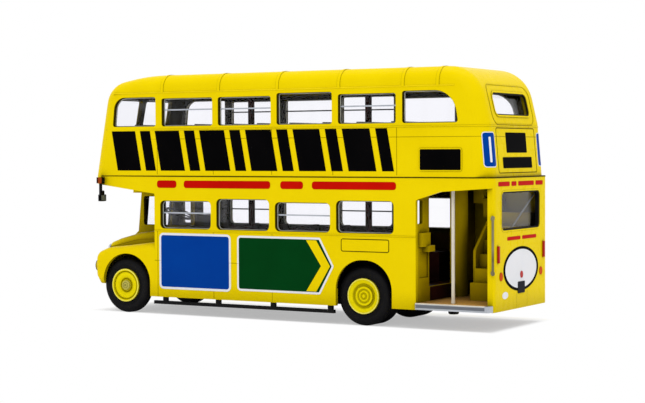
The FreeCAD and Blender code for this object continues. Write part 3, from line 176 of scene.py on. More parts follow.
def painted(
    name, colour, shade,
    rough=ROUGH, coat=0.0, peel=PEEL, recess_shade=None, reach=9.0, gloss=GLOSS, **sockets,
):
    """Sprayed enamel: slow colour drift, fine orange peel, uneven gloss. Colours are 0 to 255."""
    made = Surface(name, Coat_Weight=coat, Coat_Roughness=0.12, Specular_IOR_Level=gloss, **sockets)
    drift = made.drift(made.noise(DRIFT_SCALE, 3, 0.6), shade, colour)
    # The given dark colour is painted shade in corners and deep places.
    made.colour(drift, recess_shade and rgb(*recess_shade), reach)
    made.finish(rough, ROUGH_SCALE, 3, peel, PEEL_SCALE, 2)
    return made.material


def body_paint(name, colour, shade):
    """Yellow enamel, painted dark as shade on the lower body's inner faces in the unlit saloon."""
    made = Surface(name, Specular_IOR_Level=GLOSS)
    split = made.axes()
    saloon = {
        "X": (ENTRANCE, BULKHEAD - 0.5),
        "Y": (WALL - SIDE, SIDE - WALL),
        "Z": (SKIRT + 4, DECK - WALL),
    }
    # Mask of the saloon's inner faces, which take a dark colour as painted shade.
    inner = None
    for axis, (low, high) in saloon.items():
        same = made.calc("COMPARE", split[axis], (low + high) / 2 * MM, (high - low) / 2 * MM)
        inner = made.calc("MULTIPLY", same, inner) if inner else same
    outside = made.drift(made.noise(DRIFT_SCALE, 3, 0.6), shade, colour)
    made.colour(made.mix(inner, outside, rgb(*SALOON_SHADE)), rgb(*YELLOW_RECESS_SHADE))
    made.finish(ROUGH, ROUGH_SCALE, 3, PEEL, PEEL_SCALE, 2)
    return made.material


def moulded(name, colour, shade, rough=(0.4, 0.6), grain=900, depth=0.02, recess_shade=None, **sockets):
    """Moulded plastic or rubber with a fine grain."""
    made = Surface(name, Specular_IOR_Level=0.12, **sockets)
    # The given dark colour is painted shade in corners and deep places.
    made.colour(made.drift(made.noise(260, 3), shade, colour), recess_shade and rgb(*recess_shade))
    made.finish(rough, grain / 2, 2, depth, grain, 3)
    return made.material


def clear(name, tint):
    """Clear moulding, faintly uneven. Its tint is linear light."""
    made = Surface(name, Transmission_Weight=1.0, IOR=1.2, Roughness=0.03)
    paler = [min(1, part * 1.01) for part in tint]
    made.colour(made.ramp(made.noise(60, 1), (0.3, tint), (0.7, paler)))
    made.bump(made.noise(90, 1), 0.003)
    return made.material


# Display colours, 0 to 255. The second of each material's two is its shade.
ENAMEL = (235, 208, 2), (231, 203, 0)
# Painted shade colours: yellow's in hollows, the red plastics' in hollows, the saloon's inner
# faces.
YELLOW_RECESS_SHADE, RED_PLASTIC_RECESS_SHADE, SALOON_SHADE = (48, 42, 0), (4, 2, 2), (40, 17, 14)

YELLOW = painted("yellow_enamel", *ENAMEL, recess_shade=YELLOW_RECESS_SHADE)
BODY_YELLOW = body_paint("saloon_enamel_and_shade", *ENAMEL)
# Cab, bonnet and headlamps: painted shade reaching 18 mm and darker, where they sit under the
# canopy.
NOSE_YELLOW_DEEP_SHADE = painted("nose_enamel_deep_shade", *ENAMEL, recess_shade=(40, 36, 0), reach=18.0)
GUTTER = painted("gutter_enamel", (240, 214, 20), (234, 206, 12))
YELLOW_SEAM = painted("yellow_seam", (150, 128, 0), (128, 108, 0), rough=(0.5, 0.6))
# Dark joint lines, and painted shade in the reveals of windows and cab lights.
JOINT_AND_SHADE_DARK = painted("joint_shadow", (66, 56, 6), (50, 42, 4), rough=(0.6, 0.7))
# Wheel enamel, with painted shade in the wheel's hollows.
WHEEL_YELLOW = painted(
    "wheel_enamel", (244, 228, 8), (236, 218, 4), peel=0.004, recess_shade=(84, 74, 2), reach=1.8
)
# The wheels' outer lip: pale, as a painted highlight on its rim.
WHEEL_LIP_HIGHLIGHT = painted("wheel_lip_highlight", (248, 240, 120), (240, 230, 96), peel=0.004)
# Hub metal, with painted shade in its hollows.
HUB_METAL = painted(
    "hub_metal", (214, 206, 112), (190, 182, 88), rough=(0.2, 0.3), recess_shade=(60, 54, 10), reach=1.0
)
# Bulkhead and staircase: the yellow painted darker as shade, near black as shade in hollows.
SHADED_INNER_YELLOW = painted(
    "inner_yellow", (206, 178, 4), (190, 164, 2), rough=(0.45, 0.6), recess_shade=(14, 12, 2)
)
BLUE = painted("blue_print", (0, 62, 152), (0, 56, 144), rough=(0.28, 0.4), peel=0.008)
GREEN = painted("green_print", (0, 60, 20), (0, 54, 16), rough=(0.28, 0.4), peel=0.008)
WHITE = painted("white_print", (232, 232, 236), (222, 224, 230), rough=(0.3, 0.42), peel=0.008)
BLACK = painted("black_print", (8, 7, 8), (4, 4, 5), rough=(0.3, 0.42), peel=0.004, gloss=0.004)
PLATE = painted("plate_print", (24, 26, 38), (16, 18, 28), rough=(0.3, 0.42))
RED = painted("red_print", (196, 14, 2), (180, 8, 0), rough=(0.3, 0.42), peel=0.008)
ORANGE = painted("orange_print", (212, 84, 12), (190, 62, 6), rough=(0.25, 0.4), peel=0.008)
BLACK_PLASTIC = moulded("black_plastic", (13, 13, 14), (6, 6, 7))
RUBBER = moulded("tyre_rubber", (13, 12, 15), (6, 6, 8), rough=(0.5, 0.75), grain=1500, depth=0.03)
# Red plastics, with painted shade in their hollows.
MAROON = moulded(
    "maroon_plastic", (66, 22, 18), (48, 12, 10), rough=(0.45, 0.65), recess_shade=RED_PLASTIC_RECESS_SHADE
)
SEAT = moulded(
    "seat_plastic", (58, 24, 20), (40, 14, 12), rough=(0.5, 0.7), grain=1400, recess_shade=RED_PLASTIC_RECESS_SHADE
)
IVORY = moulded("ivory_plastic", (226, 220, 204), (208, 202, 186), rough=(0.3, 0.45))
BRONZE = moulded("dark_metal", (142, 134, 104), (96, 88, 60), rough=(0.25, 0.4))
GREY_PLASTIC = moulded("grey_plastic", (150, 150, 146), (120, 121, 118), rough=(0.35, 0.5))
SILVER = moulded("silver_paint", (186, 190, 198), (160, 165, 174), rough=(0.28, 0.42), Metallic=0.6)
STEEL = moulded("turned_steel", (200, 198, 190), (170, 168, 162), rough=(0.2, 0.35), Metallic=0.9)
# Bright plate, with painted shade in its small hollows.
CHROME = painted(
    "bright_plate", (206, 208, 212), (190, 192, 198), rough=(0.12, 0.22), recess_shade=(20, 20, 22),
    reach=0.8, Metallic=0.7,
)
# The panes' rims: pale, as a painted highlight on the clear plastic's cut.
GLASS_EDGE_GLINT = moulded("pane_edge_glint", (206, 206, 194), (176, 176, 160), rough=(0.2, 0.35))
GLASS = clear("clear_moulding", (0.96, 0.96, 0.985))
LAMP_PALE = painted("lamp_face", (222, 224, 220), (196, 200, 198), rough=(0.08, 0.16), gloss=0.3)
RED_LENS = painted("red_lens", (186, 22, 10), (160, 12, 6), rough=(0.12, 0.2), coat=0.3)
STEP_GREY = painted("step_shadow", (116, 120, 128), (98, 102, 110), rough=(0.4, 0.5))
MIRROR_GLASS = painted("mirror_face", (120, 124, 112), (92, 96, 84), rough=(0.1, 0.2))

# Each material's usual slot; a piece may name another.
SLOTS = {
    "body_paint": (YELLOW, GUTTER, YELLOW_SEAM, JOINT_AND_SHADE_DARK, BLUE, GREEN, WHITE, BLACK, RED),
    "black_plastic": (BLACK_PLASTIC, RUBBER, PLATE),
    "bright_metal": (SILVER, IVORY, BRONZE, CHROME, STEP_GREY, MIRROR_GLASS),
    "wheel_paint": (WHEEL_YELLOW, WHEEL_LIP_HIGHLIGHT, HUB_METAL),
    "interior": (MAROON, GREY_PLASTIC),
    "red_lens": (ORANGE, RED_LENS),
    "lamp_glass": (LAMP_PALE,),
    "clear": (GLASS_EDGE_GLINT,),
}
USUAL_SLOT = {material.name: slot for slot, group in SLOTS.items() for material in group}


def platform_boards():
    """Tan deck with fore-and-aft wooden strips, dark gaps between them, and painted shade in its
    hollows.
    """
    made = Surface("platform_boards")
    wave = made.calc("PINGPONG", made.axes()["Y"], 0.45 * MM)
    gap = made.calc("LESS_THAN", wave, 0.07 * MM)
    wood = made.drift(made.noise(700, 4), (238, 176, 82), (250, 194, 98))
    made.colour(made.mix(gap, wood, rgb(140, 92, 44)), rgb(30, 16, 4))
    made.rough(made.noise(500), 0.45, 0.65)
    made.bump(wave, 0.05)
    return made.material


BOARDS = platform_boards()


def ear_material():
    """Black case with an amber lens at its outer end."""
    made = Surface("indicator", Roughness=0.3, Specular_IOR_Level=0.05)
    split = made.axes()
    out = made.calc("ABSOLUTE", split["Y"])
    high = box_mm("indicator_ears")[1]
    end = made.calc("GREATER_THAN", out, (high.y - 0.25) * MM)
    rear = made.calc("LESS_THAN", split["X"], (high.x - 0.4) * MM)
    amber = made.drift(made.noise(900), (126, 50, 8), (152, 66, 14))
    made.colour(made.mix(made.calc("MULTIPLY", end, rear), rgb(14, 13, 14), amber))
    made.rough(made.noise(700), 0.22, 0.4)
    return made.material


def dress(material, *names):
    """Give CAD nodes a material."""
    for name in names:
        slots = NODES[name].data.materials
        slots.clear()
        slots.append(material)


dress(YELLOW, "upper_body", "canopy", "near_wing")
dress(NOSE_YELLOW_DEEP_SHADE, "cab", "bonnet", "headlamps")
dress(BODY_YELLOW, "lower_body")
dress(SHADED_INNER_YELLOW, "platform_bulkhead", "staircase")
dress(MAROON, "lower_interior", "upper_interior", "driver_seat")
dress(SEAT, "lower_seats_near", "lower_seats_off", "upper_seats_near", "upper_seats_off")
dress(GLASS, "lower_glazing", "upper_glazing", "cab_glazing")
dress(BLACK_PLASTIC, "chassis", "life_rail_near", "life_rail_off", "fuel_tank", "silencer")
dress(BLACK_PLASTIC, "near_mirror", "off_mirror", "steering_wheel")
dress(STEEL, "front_axle", "rear_axle")
dress(CHROME, "radiator_grille")
dress(SILVER, "platform_edge")
dress(IVORY, "platform_pole")
dress(BRONZE, "corner_handrail")
dress(BOARDS, "platform_floor")
dress(RED_LENS, "rear_lamps")
dress(ear_material(), "indicator_ears")
for corner in ("front_{}_near", "front_{}_off", "rear_{}_near", "rear_{}_off"):
    dress(RUBBER, corner.format("tyre"))
    dress(WHEEL_YELLOW, corner.format("hub"))

# -------- mesh helpers

SMOOTH_BELOW = math.radians(38)
CORNER_STEPS = 6
NO_RADIUS = 1e-6


def piece(name, points, faces, material, body="body", slot=None, smooth=False):
    """A mesh from points in millimetres, riding on a body."""
    mesh = bpy.data.meshes.new(name)
    mesh.from_pydata([Vector(point) * MM for point in points], [], faces)
    mesh.validate()
    shape = bmesh.new()
    shape.from_mesh(mesh)
    bmesh.ops.recalc_face_normals(shape, faces=shape.faces)
    shape.to_mesh(mesh)
    shape.free()
    mesh.materials.append(material)
    if smooth:
        mesh.shade_smooth()
        mesh.set_sharp_from_angle(angle=SMOOTH_BELOW)
    item = bpy.data.objects.new(name, mesh)
    bpy.context.scene.collection.objects.link(item)
    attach(item, body)
    slot or USUAL_SLOT[material.name]
    return item


def joined(name, parts, material, **kind):
    """Several (points, faces) as one piece."""
    points, faces = [], []
    for more, loops in parts:
        start = len(points)
        points += more
        faces += [[start + spot for spot in loop] for loop in loops]
    return piece(name, points, faces, material, **kind)


def rounded(corners):
    """A closed outline through (u, v, radius) corners, each rounded."""
    out = []
    count = len(corners)
    for index in range(count):
        before, here, after = (Vector(corners[(index + step) % count][:2]) for step in (-1, 0, 1))
        radius = corners[index][2]
        if radius < NO_RADIUS:
            out.append(tuple(here))
            continue
        to_before, to_after = (before - here).normalized(), (after - here).normalized()
        half = to_before.angle(to_after) / 2
        reach = radius / math.tan(half)
        centre = here + (to_before + to_after).normalized() * (radius / math.sin(half))
        start, end = here + to_before * reach - centre, here + to_after * reach - centre
        turn = start.angle_signed(end)
        for step in range(CORNER_STEPS + 1):
            spot = start.copy()
            spot.rotate(Matrix.Rotation(-turn * step / CORNER_STEPS, 2))
            out.append(tuple(centre + spot))
    return out


def four(u0, u1, v0, v1, radius):
    """A rectangle's corners, to be rounded."""
    return [(u0, v0, radius), (u1, v0, radius), (u1, v1, radius), (u0, v1, radius)]


def rect(u0, u1, v0, v1, radius=0.0):
    return rounded(four(u0, u1, v0, v1, radius))


# Usual heights of a plate's hidden and seen faces over the skin.
SUNK, FILM = -0.05, 0.03


def prism(loop, place, low, high):
    """Points and faces of a flat plate with one outline."""
    count = len(loop)
    points = [place(u, v, w) for w in (low, high) for u, v in loop]
    faces = [tuple(range(count))[::-1], tuple(range(count, 2 * count))]
    for i in range(count):
        j = (i + 1) % count
        faces.append((i, j, count + j, count + i))
    return points, faces


def hollow_prism(outer, inner, place, low, high):
    """Points and faces of a frame between two outlines with as many points."""
    count = len(outer)
    points = [place(u, v, w) for w in (low, high) for loop in (outer, inner) for u, v in loop]
    a, b, c, d = (k * count for k in range(4))
    faces = []
    for i in range(count):
        j = (i + 1) % count
        faces += [(a + i, b + i, b + j, a + j), (c + i, c + j, d + j, d + i)]
        faces += [(a + i, a + j, c + j, c + i), (b + i, d + i, d + j, b + j)]
    return points, faces


def plates(name, loops, place, material, low=SUNK, high=FILM, **kind):
    """Several thin plates as one piece. A pair of outlines makes a frame.

    place(u, v, lift) says where a point goes; low and high are the lifts of the two faces.
    """
    parts = []
    for loop in loops:
        if isinstance(loop[0], list):
            parts.append(hollow_prism(*loop, place, low, high))
        else:
            parts.append(prism(loop, place, low, high))
    return joined(name, parts, material, **kind)


def grow(corners, margin):
    """Counter-clockwise corners pushed outwards by a margin, their radii with them."""
    out = []
    count = len(corners)
    for index, (u, v, radius) in enumerate(corners):
        here = Vector((u, v))
        before, after = Vector(corners[index - 1][:2]), Vector(corners[(index + 1) % count][:2])
        first, second = (here - before).normalized(), (after - here).normalized()
        normal_one, normal_two = Vector((first.y, -first.x)), Vector((second.y, -second.x))
        shift = (normal_one + normal_two) * (margin / (1 + normal_one.dot(normal_two)))
        out.append((*(here + shift), max(radius + margin, 0.0)))
    return out


def frame_loop(corners, outside, inside=0.0):
    """The two outlines of a frame that stands so far outside and inside some corners."""
    return [rounded(grow(corners, outside)), rounded(grow(corners, inside))]


def near_side(u, v, w):
    return (u, SIDE + w, v)


def off_side(u, v, w):
    return (u, -SIDE - w, v)


def lower_rear(u, v, w):
    return (TAIL - w, u, v)


def tube(name, path, radius, material, **kind):
    """A round bar along a path."""
    path, sides = [Vector(spot) for spot in path], 8
    points, faces = [], []
    last = len(path) - 1
    for index, spot in enumerate(path):
        along = (path[min(index + 1, last)] - path[max(index - 1, 0)]).normalized()
        helper = Vector((0, 0, 1)) if abs(along.z) < 0.9 else Vector((1, 0, 0))
        across = along.cross(helper).normalized()
        up = across.cross(along)
        for side in range(sides):
            angle = math.tau * side / sides
            points.append(spot + (across * math.cos(angle) + up * math.sin(angle)) * radius)
    for ring in range(0, last * sides, sides):
        for side in range(sides):
            beside = (side + 1) % sides
            faces.append((ring + side, ring + beside, ring + sides + beside, ring + sides + side))
    faces += [tuple(range(sides))[::-1], tuple(range(last * sides, (last + 1) * sides))]
    return piece(name, points, faces, material, smooth=True, **kind)


def turned(profile, place, steps=72):
    """Points and faces of a closed outline of (inwards, radius) turned about its axis.

    place(inwards, across, up) says where a point goes.
    """
    points, rows, faces = [], [], []
    for inwards, radius in profile:
        if radius < NO_RADIUS:
            rows.append([len(points)] * steps)
            points.append(place(inwards, 0, 0))
            continue
        rows.append(list(range(len(points), len(points) + steps)))
        turns = (math.tau * step / steps for step in range(steps))
        points += [
            place(inwards, radius * math.cos(turn), radius * math.sin(turn)) for turn in turns
        ]
    for row, after in zip(rows, rows[1:] + rows[:1]):
        for step in range(steps):
            beside = (step + 1) % steps
            loop = list(dict.fromkeys([row[step], row[beside], after[beside], after[step]]))
            if len(loop) > 2:
                faces.append(loop)
    return points, faces


TREES = {}


def surface(node, start, aim):
    """Where a ray meets a CAD node, in millimetres, with the surface's direction."""
    if node not in TREES:
        TREES[node] = BVHTree.FromObject(NODES[node], bpy.context.evaluated_depsgraph_get())
    hit, normal, _, _ = TREES[node].ray_cast(Vector(start) * MM, Vector(aim).normalized())
    return None if hit is None else (hit / MM, normal)


bpy.context.view_layer.update()

# -------- livery

SIDES = (("near", near_side, 1), ("off", off_side, -1))


def laid(loops, side, ends=18.2):
    """Outlines of the near side's layout, which the off side reads from its other end."""
    return loops if side > 0 else [[(ends - u, v) for u, v in loop][::-1] for loop in loops]


def slanted_bars():
    """Bars that lean, wide and narrow in turn, from the front of the upper side to its rear."""
    u, last, low, high, gap, lean = 46.4, -36.4, 35.4, 45.1, 1.5, 1.8
    bars = []
    for width in itertools.cycle((7.2, 3.0)):
        if u - width < last:
            return bars
        bars.append([(u - width, low), (u, low), (u + lean, high), (u + lean - width, high)])
        u -= width + gap


# The near side's printed layout.
BARS = slanted_bars()
STRIPE_ENDS = (28.6, 34.4), (1.6, 26.4), (-7.4, -1.2), (-31.8, -9.8)
STRIPE = [rect(u0, u1, 31.2, 33.0, 0.7) for u0, u1 in STRIPE_ENDS]
BLUE_EDGE = four(12.8, 33.8, 6.5, 20.2, 1.2)
GREEN_EDGE = [
    (-11.9, 6.9, 0.5), (11.0, 6.9, 1.0), (11.0, 20.05, 1.0),
    (-11.9, 20.05, 0.5), (-15.6, 13.5, 0.4),
]
CHEVRON = [
    [(-10.9, 7.55), (-8.2, 7.55), (-12.2, 13.5), (-14.6, 13.5)],
    [(-14.6, 13.5), (-12.2, 13.5), (-8.2, 19.4), (-10.9, 19.4)],
]
NOTE = four(-30.0, -17.5, 17.05, 20.0, 0.5)
SIDE_BLIND = four(-47.9, -37.8, 35.7, 40.35, 0.3)
for word, place, side in SIDES:
    plates(f"black_bars_{word}", laid(BARS, side, 11.8), place, BLACK)
    plates(f"red_stripe_{word}", laid(STRIPE, side), place, RED)
    for name, edge, border, material in (
        ("blue", BLUE_EDGE, 0.55, BLUE), ("green", GREEN_EDGE, 0.5, GREEN),
    ):
        panel = laid([rounded(grow(edge, -border))], side)
        plates(f"{name}_panel_{word}", panel, place, material, high=0.045)
        plates(f"{name}_border_{word}", laid([rounded(edge)], side), place, WHITE)
    plates(f"yellow_chevron_{word}", laid(CHEVRON, side), place, YELLOW, high=0.06)
    plates(f"note_panel_{word}", laid([rounded(grow(NOTE, -0.18))], side), place, YELLOW)
    plates(f"note_frame_{word}", [laid(frame_loop(NOTE, 0, -0.15), side)], place, BLACK)
plates("blind_near", [rounded(SIDE_BLIND)], near_side, BLACK, slot="black_plastic")
plates("blind_frame_near", [frame_loop(SIDE_BLIND, 0.22)], near_side, YELLOW, high=0.12)

# -------- windows

# Heights of the panes with a sliding top, what the fixed ones have more, and heights of the bars.
UPPER_PANE, LOWER_PANE, FIXED_MORE = 6.8, 6.85, 0.6
UPPER_BAR, LOWER_BAR = 50.2, 25.1


def window_corners():
    """Every side window as (name, corners, height of its bar or None)."""
    found = []
    for bay in range(4):
        front = UPPER_BAYS - BAY * bay
        head = UPPER_SILL + UPPER_PANE + (FIXED_MORE if bay == 2 else 0)
        found.append((f"upper_{bay}", four(front - PANE, front, UPPER_SILL, head, 0.6), UPPER_BAR))
        front, fixed = LOWER_BAYS - BAY * bay, bay % 2
        head = LOWER_SILL + LOWER_PANE + (FIXED_MORE if fixed else 0)
        pane = four(front - PANE, front, LOWER_SILL, head, 1.2)
        found.append((f"lower_{bay}", pane, None if fixed else LOWER_BAR))
    sill, head = UPPER_SILL, UPPER_HEAD
    rear, tip = UPPER_BAYS + BAY - PANE + 0.2, NOSE - 7.25
    pane = [(rear, sill, 0.6), (tip, sill, 0.6), (tip - 0.7, head, 3.2), (rear, head, 0.6)]
    found.append(("front_quarter", pane, None))
    tip, front = TAIL + 7.95, UPPER_BAYS - BAY * 4
    pane = [(tip, sill, 0.6), (front, sill, 0.6), (front, head, 0.6), (tip + 1.1, head, 5.5)]
    found.append(("rear_quarter", pane, None))
    return found


for word, place, side in SIDES:
    shades, edge_glints, bars = [], [], []
    without_bar = "upper_2" if side > 0 else "upper_3"
    for name, corners, bar in window_corners():
        shades.append(frame_loop(corners, 0.0, -0.1))
        edge_glints.append(frame_loop(corners, 0.0, -0.24))
        if bar and name != without_bar:
            bars.append(rect(corners[0][0] + 0.2, corners[1][0] - 0.2, bar - 0.16, bar + 0.16))
    plates(f"window_shade_{word}", shades, place, JOINT_AND_SHADE_DARK, low=-0.95, high=-0.2)
    # Pale rims inside the windows: painted highlight on the panes.
    plates(f"window_edge_glints_{word}", edge_glints, place, GLASS_EDGE_GLINT, low=-1.25, high=-1.0)
    plates(f"window_bars_{word}", bars, place, SILVER, low=-1.1, high=-0.75)

# -------- inside the body


def upright(name, x, y, sections, material):
    """A turned upright piece from (height, radius) sections."""
    def place(height, across, along):
        return (x + across, y + along, height)
    closed = [(sections[0][0], 0.0), *sections, (sections[-1][0], 0.0)]
    return joined(name, [turned(closed, place, 32)], material, smooth=True)


POST_RADIUS = 0.8
LOWER_FLOOR, UPPER_FLOOR = (box_mm(f"{word}_seats_near")[0].z for word in ("lower", "upper"))
for index, bay in enumerate((1, 3)):
    x = UPPER_BAYS - BAY * bay + (BAY - PANE) / 2
    storeys = ("lower", LOWER_FLOOR, DECK - 1.0), ("upper", UPPER_FLOOR, ROOF - 1.9)
    for word, low, high in storeys:
        foot, plain = POST_RADIUS + 0.3, POST_RADIUS
        post = [(low + 0.02, foot), (low + 0.5, foot), (low + 0.7, plain), (high - 0.6, plain)]
        upright(f"{word}_post_{index}", x, 0, post + [(high - 0.02, plain + 0.25)], MAROON)

# -------- cab

WHEEL_AT = Vector((45.4, -8.52, 23.9))
WHEEL_TILT = math.radians(21)


def on_wheel(along, across, up=0.0):
    """A place on the tilted steering wheel, from its centre."""
    level, rise = math.cos(WHEEL_TILT), math.sin(WHEEL_TILT)
    return WHEEL_AT + Vector((along * level - up * rise, across, along * rise + up * level))


def steering_wheel():
    """Ring, spokes, boss and column."""
    reach, thick, steps, sides = 3.6, 0.34, 48, 10
    points, faces = [], []
    for step in range(steps):
        turn = math.tau * step / steps
        for side in range(sides):
            angle = math.tau * side / sides
            radius = reach + thick * math.cos(angle)
            across = radius * math.sin(turn)
            points.append(on_wheel(radius * math.cos(turn), across, thick * math.sin(angle)))
            row, after, beside = step * sides, (step + 1) % steps * sides, (side + 1) % sides
            faces.append([row + side, row + beside, after + beside, after + side])
    parts = [(points, faces)]
    for angle in (90, 210, 330):
        turn = math.radians(angle)
        along = Vector((math.cos(turn), math.sin(turn)))
        beside = Vector((-along.y, along.x)) * 0.2
        foot, tip = along * 0.5, along * reach
        spoke = [tuple(spot) for spot in (foot + beside, tip + beside, tip - beside, foot - beside)]
        parts.append(prism(spoke, on_wheel, -0.14, 0.14))
    boss = [(0.25, 0.0), (0.25, 0.5), (0.1, 0.75), (-0.4, 0.6), (-0.4, 0.0)]
    parts.append(turned(boss, lambda up, along, across: on_wheel(along, across, up), 24))
    foot = Vector((WHEEL_AT.x + 1.4, WHEEL_AT.y, box_mm("steering_wheel")[0].z + 0.02))
    top = on_wheel(0, 0, -0.3)

    def place(share, across, up):
        return foot.lerp(top, share) + Vector((across, up, 0))

    column = [(0.0, 0.0), (0.0, 0.62), (0.12, 0.42), (1.0, 0.36), (1.0, 0.0)]
    parts.append(turned(column, place, 16))
    return joined("steering_ring", parts, BLACK_PLASTIC, smooth=True)


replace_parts(steering_wheel(), "steering_wheel")

# -------- platform

riser = surface("platform_bulkhead", (-47, 4, 7.4), (1, 0, 0))[0].x


def facing_back(u, v, w):
    return (riser - w, u, v)


riser_face = rect(-SIDE + 1.3, 9.0, 6.05, LOWER_FLOOR - 0.05)
plates("entrance_riser", [riser_face], facing_back, MAROON, low=0.01, high=0.06)

pole_low, pole_high = box_mm("platform_pole")
pole_at = (pole_low + pole_high) / 2
edge_low, edge_high = box_mm("platform_edge")
RIVET = (-0.95, 0.95), (-0.85, 1.12), (-0.6, 1.2), (0.9, 1.2)
rivet = [(edge_low.z + up, radius) for up, radius in RIVET]
upright("pole_rivet", pole_at.x - 0.1, pole_at.y, rivet, BLACK_PLASTIC)
collar = [(6.02, 0.5), (6.2, 0.5), (6.3, 0.46), (7.0, 0.44)]
upright("pole_collar", pole_at.x, pole_at.y, collar, IVORY)
edge_out = edge_high.y - SIDE
step_rear, step_front = edge_low.x + 1.2, ENTRANCE - 0.2
# A dark grey band on the step's face: painted shade.
groove = rect(step_rear, step_front, 5.0, 5.72)
plates("step_groove_shade", [groove], near_side, STEP_GREY, low=edge_out - 0.1, high=edge_out + 0.02)
# A pale bar along the step's top: painted highlight.
top_highlight = [(x, SIDE + edge_out - 0.06, 5.96) for x in (step_front, -45, step_rear)]
tube("step_top_highlight", top_highlight, 0.14, IVORY)

rail_low, rail_high = box_mm("corner_handrail")
BALL = [
    (math.sin(math.radians(angle)) * 0.46, math.cos(math.radians(angle)) * 0.46)
    for angle in range(-90, 91, 15)
]
for word, height in (("foot", rail_low.z + 0.6), ("head", rail_high.z - 0.6)):
    def place(out, across, up, height=height):
        return (rail_low.x + 0.5 + across, (rail_low.y + rail_high.y) / 2 + up, height + out)

    joined(f"handrail_{word}", [turned(BALL, place, 20)], BRONZE, smooth=True)

# -------- mirrors

mirror_low, mirror_high = box_mm("near_mirror")
MIRROR_TOP = mirror_low.z + 1.7


def mirror_face(side):
    def place(u, v, w):
        return (mirror_low.x - w, side * u, v)
    return place


for word, _, side in SIDES:
    inner, outer = (SIDE - 0.65 if side > 0 else SIDE + 0.05), mirror_high.y
    head = rect(inner, outer, mirror_low.z + 0.02, MIRROR_TOP, 0.2)
    glass = rect(inner + 0.18, outer - 0.18, mirror_low.z + 0.22, MIRROR_TOP - 0.18, 0.15)
    x, y = mirror_low.x + 0.6, side * (SIDE + 0.75)
    arm = [(x, y, MIRROR_TOP - 0.1), (x, y, mirror_high.z + 0.05)]
    tube(f"mirror_arm_{word}", arm, 0.4, BLACK_PLASTIC)
    plates(f"mirror_case_{word}", [head], mirror_face(side), BLACK_PLASTIC, low=-0.8, high=0.04)
    plates(f"mirror_glass_{word}", [glass], mirror_face(side), MIRROR_GLASS, low=0.0, high=0.06)

# -------- wheels


def tyre_section(width, bore, top):
    """A tyre's outline as (inwards, radius): bead, stepped wall, round shoulder, grooved tread."""
    wall = [
        (0.42, 0), (0.3, 0.12), (0.3, 0.4), (0.2, 0.5), (0.16, 0.72), (0.24, 0.82), (0.2, 1.3),
        (0.15, 1.45), (0.16, 1.6),
    ]
    half = [(inwards, bore + rise) for inwards, rise in wall]
    shoulder, steps, depth = 1.0, 9, 0.12
    for step in range(steps + 1):
        angle = math.radians(175 + (90 - 175) * step / steps)
        inwards, radius = 0.16 + shoulder + math.cos(angle), top - shoulder + math.sin(angle)
        half.append((inwards, radius))
    for spot in (0.5, 0.8):
        middle = width * spot / 2 + 0.25
        half += [(middle - 0.1, top), (middle - 0.07, top - depth)]
        half += [(middle + 0.07, top - depth), (middle + 0.1, top)]
    return half + [(width - inwards, radius) for inwards, radius in reversed(half)]


FRONT_DISC = [
    (0.1, 4.1), (0.03, 4.04), (0.0, 3.94), (0.0, 3.74), (0.05, 3.64), (0.36, 3.54), (0.46, 3.46),
    (0.44, 3.38), (0.3, 3.28), (0.24, 3.1), (0.3, 2.6), (0.46, 2.1), (0.56, 1.86), (0.78, 1.74),
    (0.86, 1.62), (0.8, 1.5), (0.5, 1.4), (0.5, 0.0),
]
REAR_DISC = [
    (0.1, 4.1), (0.03, 4.04), (0.0, 3.94), (0.02, 3.78), (0.12, 3.7), (0.26, 3.4), (0.34, 3.1),
    (0.46, 2.92), (0.7, 2.8), (0.86, 2.66), (0.9, 2.5), (0.84, 2.36), (0.6, 2.28), (0.42, 2.2),
    (0.36, 2.08), (0.36, 1.84), (0.44, 1.72), (0.6, 1.62), (0.66, 1.5), (0.6, 1.38), (0.44, 1.28),
    (0.34, 1.18), (0.3, 1.02), (0.36, 0.88), (0.52, 0.78), (0.58, 0.66), (0.52, 0.54), (0.34, 0.44),
    (0.2, 0.32), (0.14, 0.2), (0.12, 0.0),
]
HUB_CAP = [
    (0.52, 1.24), (0.2, 1.16), (0.08, 1.04), (0.06, 0.86), (0.16, 0.74), (0.12, 0.58), (0.02, 0.5),
    (0.0, 0.3), (0.16, 0.24), (0.16, 0.0), (0.52, 0.0),
]
LIP = [(0.02, 4.06), (-0.03, 4.0), (-0.03, 3.86), (0.02, 3.8), (0.12, 3.82), (0.12, 4.04)]
SINGLE, TWIN_GAP = 3.15, 0.55


def make_wheel(word, hand, side):
    """One wheel's looks, in place of its CAD disc and tyre."""
    low, high = box_mm(f"{word}_hub_{hand}")
    middle = (low + high) / 2
    face = max(abs(low.y), abs(high.y))

    def place(inwards, across, up):
        return (middle.x + across, side * (face - inwards), middle.z + up)

    kind = {"body": f"{word}_wheels", "smooth": True}
    rim, top, deep = (high.x - low.x) / 2, box_mm(f"{word}_tyre_{hand}")[1].z / 2, high.y - low.y
    outline = (FRONT_DISC if word == "front" else REAR_DISC) + [(deep, 0.0), (deep, rim)]
    disc = joined(f"{word}_disc_{hand}", [turned(outline, place)], WHEEL_YELLOW, **kind)
    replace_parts(disc, f"{word}_hub_{hand}")
    if word == "front":
        joined(f"hub_cap_{hand}", [turned(HUB_CAP, place, 48)], HUB_METAL, **kind)
    # The lip ring, pale as a painted highlight.
    joined(f"{word}_lip_{hand}", [turned(LIP, place)], WHEEL_LIP_HIGHLIGHT, **kind)
    section = tyre_section(SINGLE, rim, top)
    rings = []
    for index in range(1 if word == "front" else 2):
        shift = 0.15 + index * (SINGLE + TWIN_GAP)
        rings.append(turned([(inwards + shift, radius) for inwards, radius in section], place, 96))
    tyre = joined(f"{word}_rubber_{hand}", rings, RUBBER, slot="tyre", **kind)
    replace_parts(tyre, f"{word}_tyre_{hand}")


for end in ("front", "rear"):
    for word, _, side in SIDES:
        make_wheel(end, word, side)

# -------- lines and beads


